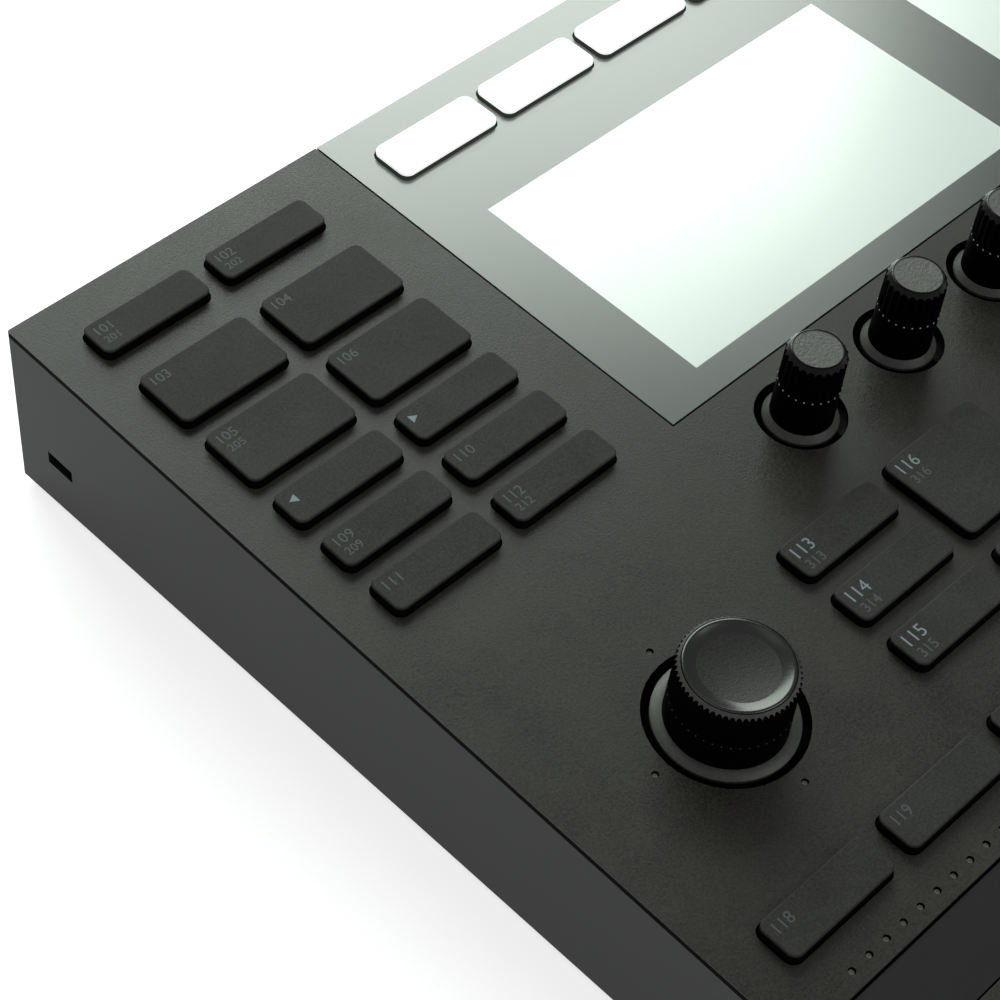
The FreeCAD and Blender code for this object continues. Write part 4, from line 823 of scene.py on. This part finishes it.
@dataclass(frozen=True)
class FlutedGrip:
    """Side wall of a knob with rounded grooves that cut into its chamfer.

    Each column of a flute has four faces: the wall, the groove's ledge, the groove and the
    chamfer.
    """

    STRIPS = 4

    flutes: int
    depth: float
    foot: Pair
    groove_end: float
    shoulder: Pair
    rim: Pair
    columns: int = 8
    ledge_slope: float = 0.35

    def wall(self, height: float) -> float:
        """Find the plain wall at a height.

        Args:
            height: the height in millimetres.

        Returns:
            The wall's radius there.
        """
        low, high = self.foot, self.shoulder
        share = (height - low[1]) / (high[1] - low[1])
        return low[0] + (high[0] - low[0]) * share

    def sector(self) -> Mesh:
        """One flute: the wall, the groove with its ledge, and the chamfer over it.

        Returns:
            The mesh, open at its sides.
        """
        mesh = bmesh.new()
        half = math.pi / self.flutes
        lines = []
        for column in range(self.columns + 1):
            share = 2 * column / self.columns - 1
            cut = self.depth * (1 - share * share)
            angle = share * half
            drop = (self.rim[1] - self.shoulder[1]) / (self.shoulder[0] - self.rim[0])
            top_radius = max(self.shoulder[0] - cut, self.rim[0])
            top_height = self.rim[1] - (top_radius - self.rim[0]) * drop
            low_wall = self.wall(self.groove_end)
            outline = [self.foot, (low_wall, self.groove_end),
                       (low_wall - cut, self.groove_end + self.ledge_slope * cut),
                       (top_radius, top_height), self.rim]
            lines.append([mesh.verts.new((r * math.cos(angle), r * math.sin(angle), z))
                          for r, z in outline])
        for left, right in zip(lines, lines[1:]):
            for index in range(len(left) - 1):
                mesh.faces.new((left[index], right[index], right[index + 1], left[index + 1]))
        return as_mesh("flute", mesh)

    def build(self, repeater: Repeater, material: Material) -> Mesh:
        """Make the whole wall.

        Args:
            repeater: copies one flute on a ring.
            material: the wall's material.

        Returns:
            The wall, with the flutes' corners joined.
        """
        made = repeater.run(self.sector(), Count=self.flutes, Finish=material)
        work = bmesh.new()
        work.from_mesh(made)
        bmesh.ops.remove_doubles(work, verts=work.verts, dist=WELD)
        return as_mesh("grip", work)


@dataclass(frozen=True)
class Knob:
    """A turning knob: fluted grip, chamfer, top or dish, and the skirt round its foot.

    Outlines are pairs of radius and height in millimetres. The cap's rings of faces from
    number cap_split on have the face finish, and those before it the bevel finish.
    """

    grip: FlutedGrip
    cap: Profile
    cap_split: int
    skirt: Profile
    steps: int
    # A ring of small spheres stands for the glints at the grooves' lower ends: painted highlights.
    dots: int
    glint_place: Pair
    glint_size: float
    glint_finish: str
    chamfer: str
    face: str
    bevel: str
    wall: str = "knob_rubber"
    skirt_finish: str = "skirt_satin"

    def build(self, piece: Piece, place: Matrix, shop: Workshop) -> None:
        """Add the knob's surfaces to a piece.

        Args:
            piece: the piece that takes the mesh.
            place: where the knob's axis meets the deck.
            shop: the finishes and the repeater.
        """
        paints = shop.paints
        strips = self.grip.STRIPS
        piece.add(self.grip.build(shop.repeater, paints[self.wall]), place, paints[self.wall],
                  paints[self.chamfer], lambda number: number % strips == strips - 1)
        piece.add(lathe(self.cap, self.steps), place, paints[self.bevel], paints[self.face],
                  lambda number: number // self.steps >= self.cap_split)
        piece.add(lathe(self.skirt, self.steps), place, paints[self.skirt_finish])
        # Painted glints: a ring of small spheres in a pale finish.
        paint = paints[self.glint_finish]
        piece.add(shop.repeater.run(self.painted_glint(), Count=self.dots, Finish=paint), place, paint)

    def painted_glint(self) -> Mesh:
        """One small sphere that stands for a glint on the grip: a painted highlight.

        Returns:
            The mesh, at its place beside the axis.
        """
        mesh = bmesh.new()
        radius, height = self.glint_place
        bmesh.ops.create_icosphere(mesh, subdivisions=1, radius=self.glint_size,
                                   matrix=Matrix.Translation((radius, 0, height)))
        return as_mesh("painted_glint", mesh)


@dataclass(frozen=True)
class SmallKnobs:
    """The eight endless knobs before the displays."""

    xs: tuple[float, ...] = (-66.2, -38.6, -11.0, 16.6, 45.3, 72.9, 100.5, 128.1)
    y: float = 43.2
    knob: Knob = Knob(
        grip=FlutedGrip(flutes=24, depth=0.35, foot=(5.84, 0.6), groove_end=9.2,
                        shoulder=(5.59, 15.7), rim=(4.72, 16.75)),
        cap=((0, 16.2), (4.72, 16.2), (4.72, 16.75), (4.66, 16.95), (4.5, 17.0),
             (4.38, 16.86), (0, 16.86)),
        cap_split=5,
        skirt=((5.4, -1.05), (6.9, -1.05), (7.0, -0.95), (7.0, -0.40), (6.92, -0.31),
               (5.84, 0.66), (5.4, 0.67)),
        # Pale spheres at the grooves' ends: painted glints.
        steps=72, dots=24, glint_place=(5.63, 8.85), glint_size=0.22, glint_finish="knob_painted_glint",
        chamfer="knob_chamfer", face="knob_top", bevel="knob_chamfer")

    def build(self, shop: Workshop) -> None:
        """Make each knob as a piece of its own.

        Args:
            shop: the deck, the finishes and the repeater.
        """
        for number, x in enumerate(self.xs, 1):
            node = f"knob_{number}"
            piece = Piece(f"small_knob_{number}", node)
            self.knob.build(piece, shop.deck.at(x, self.y), shop)
            piece.finish(replaces=(node,))


@dataclass(frozen=True)
class LargeEncoder:
    """The large dished encoder with its knurled edge and satin skirt."""

    place: Pair = (-124.8, 8.8)
    knob: Knob = Knob(
        grip=FlutedGrip(flutes=60, depth=0.42, foot=(10.4, 0.1), groove_end=6.3,
                        shoulder=(10.1, 13.05), rim=(9.27, 13.85), columns=6),
        cap=((0, 12.9), (9.27, 12.9), (9.27, 13.85), (9.16, 13.7), (9.08, 13.92),
             (8.95, 14.0), (8.62, 14.0), (8.45, 13.93), (6.75, 13.39), (0, 13.36)),
        cap_split=8,
        skirt=((10.0, -1.05), (12.25, -1.05), (12.35, -0.95), (12.35, -0.38), (12.27, -0.3),
               (10.39, 0.14), (10.0, 0.14)),
        # Grey spheres low on the grip: painted glints.
        steps=96, dots=44, glint_place=(10.22, 5.9), glint_size=0.15, glint_finish="dial_painted_glint",
        chamfer="dial_chamfer", face="dish_floor", bevel="dish_bevel")

    def build(self, shop: Workshop) -> None:
        """Make the encoder's cap.

        Args:
            shop: the deck, the finishes and the repeater.
        """
        piece = Piece("large_encoder", "encoder_cap")
        self.knob.build(piece, shop.deck.at(*self.place), shop)
        piece.finish(replaces=("encoder_cap",))


@dataclass(frozen=True)
class Label:
    """One number or symbol on a key."""

    text: str
    x: float
    y: float
    cap: float = 2.1
    finish: str = "legend_dim"


@dataclass
class Legends:
    """Plain numbers printed on the keys, as thin raised ink."""

    HALF_DEPTH = 0.01
    GLYPH_DEPTH = 0.03
    LIFT = 0.25

    key_top: float = 2.0
    ink: float = 0.02
    inset: Pair = (1.7, 1.4)
    glyphs: dict[str, Mesh] = field(default_factory=dict)
    printed: int = 0

    def glyph(self, text: str) -> Mesh:
        """Thin mesh of a text, made once.

        Args:
            text: a number or symbol.

        Returns:
            The mesh, whose capitals are one unit high, from its rear left corner.
        """
        if text not in self.glyphs:
            curve = bpy.data.curves.new("legend", "FONT")
            curve.body = text
            curve.resolution_u = 3
            curve.extrude = self.HALF_DEPTH
            carrier = add_object("legend", curve)
            graph = bpy.context.evaluated_depsgraph_get()
            mesh = bpy.data.meshes.new_from_object(carrier.evaluated_get(graph))
            bpy.data.objects.remove(carrier)
            left = min(v.co.x for v in mesh.vertices)
            low, high = (pick(v.co.y for v in mesh.vertices) for pick in (min, max))
            mesh.transform(Matrix.Translation((-left, -high, 0)))
            mesh.transform(Matrix.Scale(1 / (high - low), 4))
            self.glyphs[text] = mesh
        return self.glyphs[text]

    def print_on(self, body: str, labels: list[Label], shop: Workshop) -> None:
        """Make one piece of all the labels on a key or bank.

        Args:
            body: the body of the key or bank.
            labels: what is printed on it.
            shop: the deck and the finishes.
        """
        self.printed += 1
        piece = Piece(f"legend_{self.printed}_{body}", body)
        for label in labels:
            flat = Matrix.Diagonal((label.cap, label.cap, self.ink / self.GLYPH_DEPTH, 1))
            place = shop.deck.at(label.x, label.y, self.key_top + self.ink * self.LIFT) @ flat
            piece.add(self.glyph(label.text), place, shop.paints[label.finish])
        piece.finish()

    def corner(self, x: float, y: float, width: float, depth: float) -> Pair:
        """Where a label starts on a key."""
        return x - width / 2 + self.inset[0], y + depth / 2 - self.inset[1]


@dataclass(frozen=True)
class Bank:
    """A key, or a bank of keys in rows, that carries running numbers."""

    body: str
    number: int
    start: Pair
    columns: int = 1
    rows: int = 1
    pitch: Pair = (28.2, 17.85)
    depth: float = 8.0
    cap: float = 2.1
    finish: str = "legend_dim"
    second: bool = False


@dataclass(frozen=True)
class KeyField:
    """All the keys with their numbers; keys in doubled carry a second, smaller one."""

    ARROWS = {7: "\u25c4", 8: "\u25ba"}
    FIRST, SECOND = 100, 200

    width: float = 24.2
    doubled: frozenset[int] = frozenset({1, 2, 5, 9, 12})
    arrow_drop: float = 0.6
    arrow_cap: float = 1.9
    second_drop: float = 2.9
    second_cap: float = 1.7
    bank_drop: float = 1.35
    bank_share: float = 0.8
    block_x: Pair = (-138.9, -110.7)
    block_rows: tuple[Pair, ...] = (
        (136.8, 8.0), (118.25, 13.7), (100.4, 13.7), (85.5, 8.0), (73.4, 8.0), (61.3, 8.0))
    banks: tuple[Bank, ...] = (
        Bank("encoder_key_1", 113, (-82.5, 20.9), cap=2.5, finish="legend_clear", second=True),
        Bank("encoder_key_2", 114, (-82.5, 8.8), cap=2.5, finish="legend_clear", second=True),
        Bank("encoder_key_3", 115, (-82.5, -3.3), cap=2.5, finish="legend_clear", second=True),
        Bank("high_key", 116, (-54.3, 14.85), depth=20.1, cap=2.5, finish="legend_clear",
             second=True),
        Bank("low_key", 117, (-54.3, -3.3)),
        Bank("strip_keys", 118, (-138.9, -24.1), columns=4),
        Bank("lower_keys", 122, (-138.9, -66.0), columns=4, rows=2, depth=13.7),
        Bank("lower_keys", 130, (-138.9, -116.6), columns=4, rows=2, depth=13.7),
        Bank("column_keys", 138, (-18.6, 18.05), rows=8, pitch=(0.0, 21.786), depth=13.7),
        Bank("mode_keys", 146, (11.9, 20.9), columns=5, pitch=(31.75, 0.0)))

    def block_labels(self, legends: Legends) -> dict[str, list[Label]]:
        """Numbers of the twelve block keys; two of them carry arrows.

        Args:
            legends: the printer, which knows where a label starts.

        Returns:
            The labels by body.
        """
        made = {}
        for row, (y, depth) in enumerate(self.block_rows):
            for column, x in enumerate(self.block_x):
                number = 2 * row + column + 1
                left, rear = legends.corner(x, y, self.width, depth)
                if number in self.ARROWS:
                    labels = [Label(self.ARROWS[number], left, rear - self.arrow_drop,
                                    self.arrow_cap, "legend_clear")]
                else:
                    labels = [Label(f"{self.FIRST + number}", left, rear)]
                    if number in self.doubled:
                        labels.append(Label(f"{self.SECOND + number}", left,
                                            rear - self.second_drop, self.second_cap))
                made[f"block_key_{number}"] = labels
        return made

    def bank_labels(self, legends: Legends, bank: Bank) -> list[Label]:
        """Numbers of one key or bank, from its rear left key on.

        Args:
            legends: the printer, which knows where a label starts.
            bank: the key or bank.

        Returns:
            The labels.
        """
        labels = []
        for row in range(bank.rows):
            for column in range(bank.columns):
                x = bank.start[0] + column * bank.pitch[0]
                y = bank.start[1] - row * bank.pitch[1]
                left, rear = legends.corner(x, y, self.width, bank.depth)
                number = bank.number + row * bank.columns + column
                labels.append(Label(f"{number}", left, rear, bank.cap, bank.finish))
                if bank.second:
                    labels.append(Label(f"{self.SECOND + number}", left,
                                        rear - self.bank_drop * bank.cap,
                                        self.bank_share * bank.cap))
        return labels

    def build(self, legends: Legends, shop: Workshop) -> None:
        """Print every key.

        Args:
            legends: the printer.
            shop: the deck and the finishes.
        """
        for body, labels in self.block_labels(legends).items():
            legends.print_on(body, labels, shop)
        for bank in self.banks:
            legends.print_on(bank.body, self.bank_labels(legends, bank), shop)


class FinishTable:
    """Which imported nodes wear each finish; the nodes that aren't listed are keys."""

    NODES = {
        "deck_anodised": ("top_plate",), "case_moulded": ("side_frame",),
        "powder_coat": ("base_plate",), "screw_zinc": ("case_screws",),
        "foot_rubber": ("rubber_feet",), "display_glass": ("display_glass",),
        "display_module": ("display_modules",), "nylon": ("board_spacers",),
        "pad_rubber": ("pad_mat",), "touch_strip_smoked": ("touch_strip",),
        "light_pipe": ("indicator_lights",), "bright_steel": ("encoder_shaft",),
        "circuit_board": ("control_board", "pad_board"),
        "black_moulded": ("rear_panel", "key_switches", "power_button"),
        "socket_black": ("audio_jacks", "midi_sockets", "usb_and_power_sockets"),
        # Parts down in the gaps, partly painted shade.
        "black_and_gap_shade": ("display_frame", "knob_encoders", "joystick_housing", "gimbal_ring",
                       "gimbal_block"),
    }

    def dress_all(self, paints: Paints) -> None:
        """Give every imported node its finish.

        Args:
            paints: all finishes.
        """
        finishes = {node: name for name, nodes in self.NODES.items() for node in nodes}
        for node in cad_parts:
            # Display keys take the finish with painted reflection.
            key = "key_painted_reflection" if "display_key" in node else "key_soft_touch"
            paints.dress(node, finishes.get(node, key))
        LOG.info("dressed %d packed nodes", len(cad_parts))


@dataclass(frozen=True)
class Softbox:
    """A square-on area light; angles are in degrees and lengths in metres.

    The azimuth runs from +X towards +Y, and radiance is the brightness of its face, where 1
    is white.
    """

    name: str
    azimuth: float
    elevation: float
    size: Pair
    radiance: float
    distance: float = 1.5


@dataclass(frozen=True)
class Studio:
    """Camera, pale floor and soft lights."""

    lamps: tuple[Softbox, ...] = (
        Softbox("rear_softbox", 60, 31, (1.3, 0.9), 4.6),
        Softbox("top_fill", 150, 70, (0.9, 0.9), 0.3),
        Softbox("front_fill", -64, 48, (0.9, 0.9), 1.5))
    aim: Triple = (-0.03, 0.03, 0.03)
    sky_strength: float = 0.22
    floor_size: float = 12.0
    floor_tone: float = 0.85
    floor_roughness: float = 0.9
    floor_glow: float = 0.72
    clip: Pair = (0.01, 50)
    sensor: float = 36.0
    tint: Colour = (0.90, 1.0, 0.92)
    lens: float = 85.576
    shift: Pair = (0.07, 0.003)
    eye: Triple = (-319.82, -101.54, 313.69)
    axes: tuple[Triple, Triple, Triple] = (
        (0.7220366406, -0.6896662868, 0.0549863839),
        (-0.5100630030, -0.5843273569, -0.6311871933),
        (0.4674385763, 0.4276937606, -0.7736790191))

    def camera(self, deck: Deck) -> None:
        """Put the camera at the photograph's angle.

        Args:
            deck: the plane that its place is given from.
        """
        data = bpy.data.cameras.new("camera")
        data.sensor_width = self.sensor
        data.lens = self.lens
        data.shift_x, data.shift_y = self.shift
        data.clip_start, data.clip_end = self.clip
        right, down, ahead = (Vector(axis) for axis in self.axes)
        turn = Matrix((right, -down, -ahead)).transposed().to_4x4()
        camera = add_object("camera", data)
        camera.matrix_world = Matrix.Translation(deck.point(*self.eye)) @ deck.turn() @ turn
        bpy.context.scene.camera = camera

    def floor(self) -> None:
        """White floor that keeps the object's shadow."""
        mesh = bpy.data.meshes.new("floor")
        size = self.floor_size
        mesh.from_pydata([(-size, -size, 0), (size, -size, 0), (size, size, 0), (-size, size, 0)],
                         [], [(0, 1, 2, 3)])
        floor = add_object("floor", mesh)
        material, sheet, shader = new_material("floor")
        rays = sheet.add("ShaderNodeLightPath").outputs
        seen = sheet.math("MAXIMUM", rays["Is Camera Ray"], rays["Is Glossy Ray"])
        sheet.fill(shader, {
            "Base Color": (*[self.floor_tone] * 3, 1), "Roughness": self.floor_roughness,
            "Emission Color": (1, 1, 1, 1),
            "Emission Strength": sheet.math("MULTIPLY", seen, self.floor_glow)})
        mesh.materials.append(material)

    def sky(self) -> None:
        """White surroundings, plain to the eye and weaker as light."""
        world = bpy.data.worlds.new("studio")
        bpy.context.scene.world = world
        world.use_nodes = True
        sheet = NodeSheet(world.node_tree)
        rays = sheet.add("ShaderNodeLightPath").outputs
        seen = sheet.math("MAXIMUM", rays["Is Camera Ray"], rays["Is Transmission Ray"])
        sheet.fill(world.node_tree.nodes["Background"], {
            "Color": (1, 1, 1, 1), "Strength": sheet.spread(seen, 0, 1, self.sky_strength, 1.0)})

    def lamp(self, box: Softbox) -> None:
        """Put up a softbox that faces the object.

        Args:
            box: its place, size and brightness.
        """
        data = bpy.data.lights.new(box.name, "AREA")
        data.shape = "RECTANGLE"
        data.color = self.tint
        data.size, data.size_y = box.size
        data.energy = box.radiance * math.pi * box.size[0] * box.size[1]
        lamp = add_object(box.name, data)
        turn, rise = math.radians(box.azimuth), math.radians(box.elevation)
        away = Vector((math.cos(turn) * math.cos(rise), math.sin(turn) * math.cos(rise),
                       math.sin(rise)))
        lamp.rotation_mode = "QUATERNION"
        lamp.location = Vector(self.aim) + away * box.distance
        lamp.rotation_quaternion = away.to_track_quat("Z", "Y")

    def build(self, deck: Deck) -> None:
        """Set up the whole studio.

        Args:
            deck: the plane that the camera is placed from.
        """
        self.camera(deck)
        self.floor()
        self.sky()
        for box in self.lamps:
            self.lamp(box)


def main() -> None:
    """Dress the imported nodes, make the detailed pieces and set up the studio."""
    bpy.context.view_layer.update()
    bpy.context.scene.view_settings.view_transform = "Standard"
    shop = Workshop(DECK, Paints(SharedEffects(DECK)), Repeater())
    FinishTable().dress_all(shop.paints)
    SmallKnobs().build(shop)
    LargeEncoder().build(shop)
    KeyField().build(Legends(), shop)
    Studio().build(DECK)


if __name__ == "__main__":
    logging.basicConfig(level=logging.INFO)
    main()
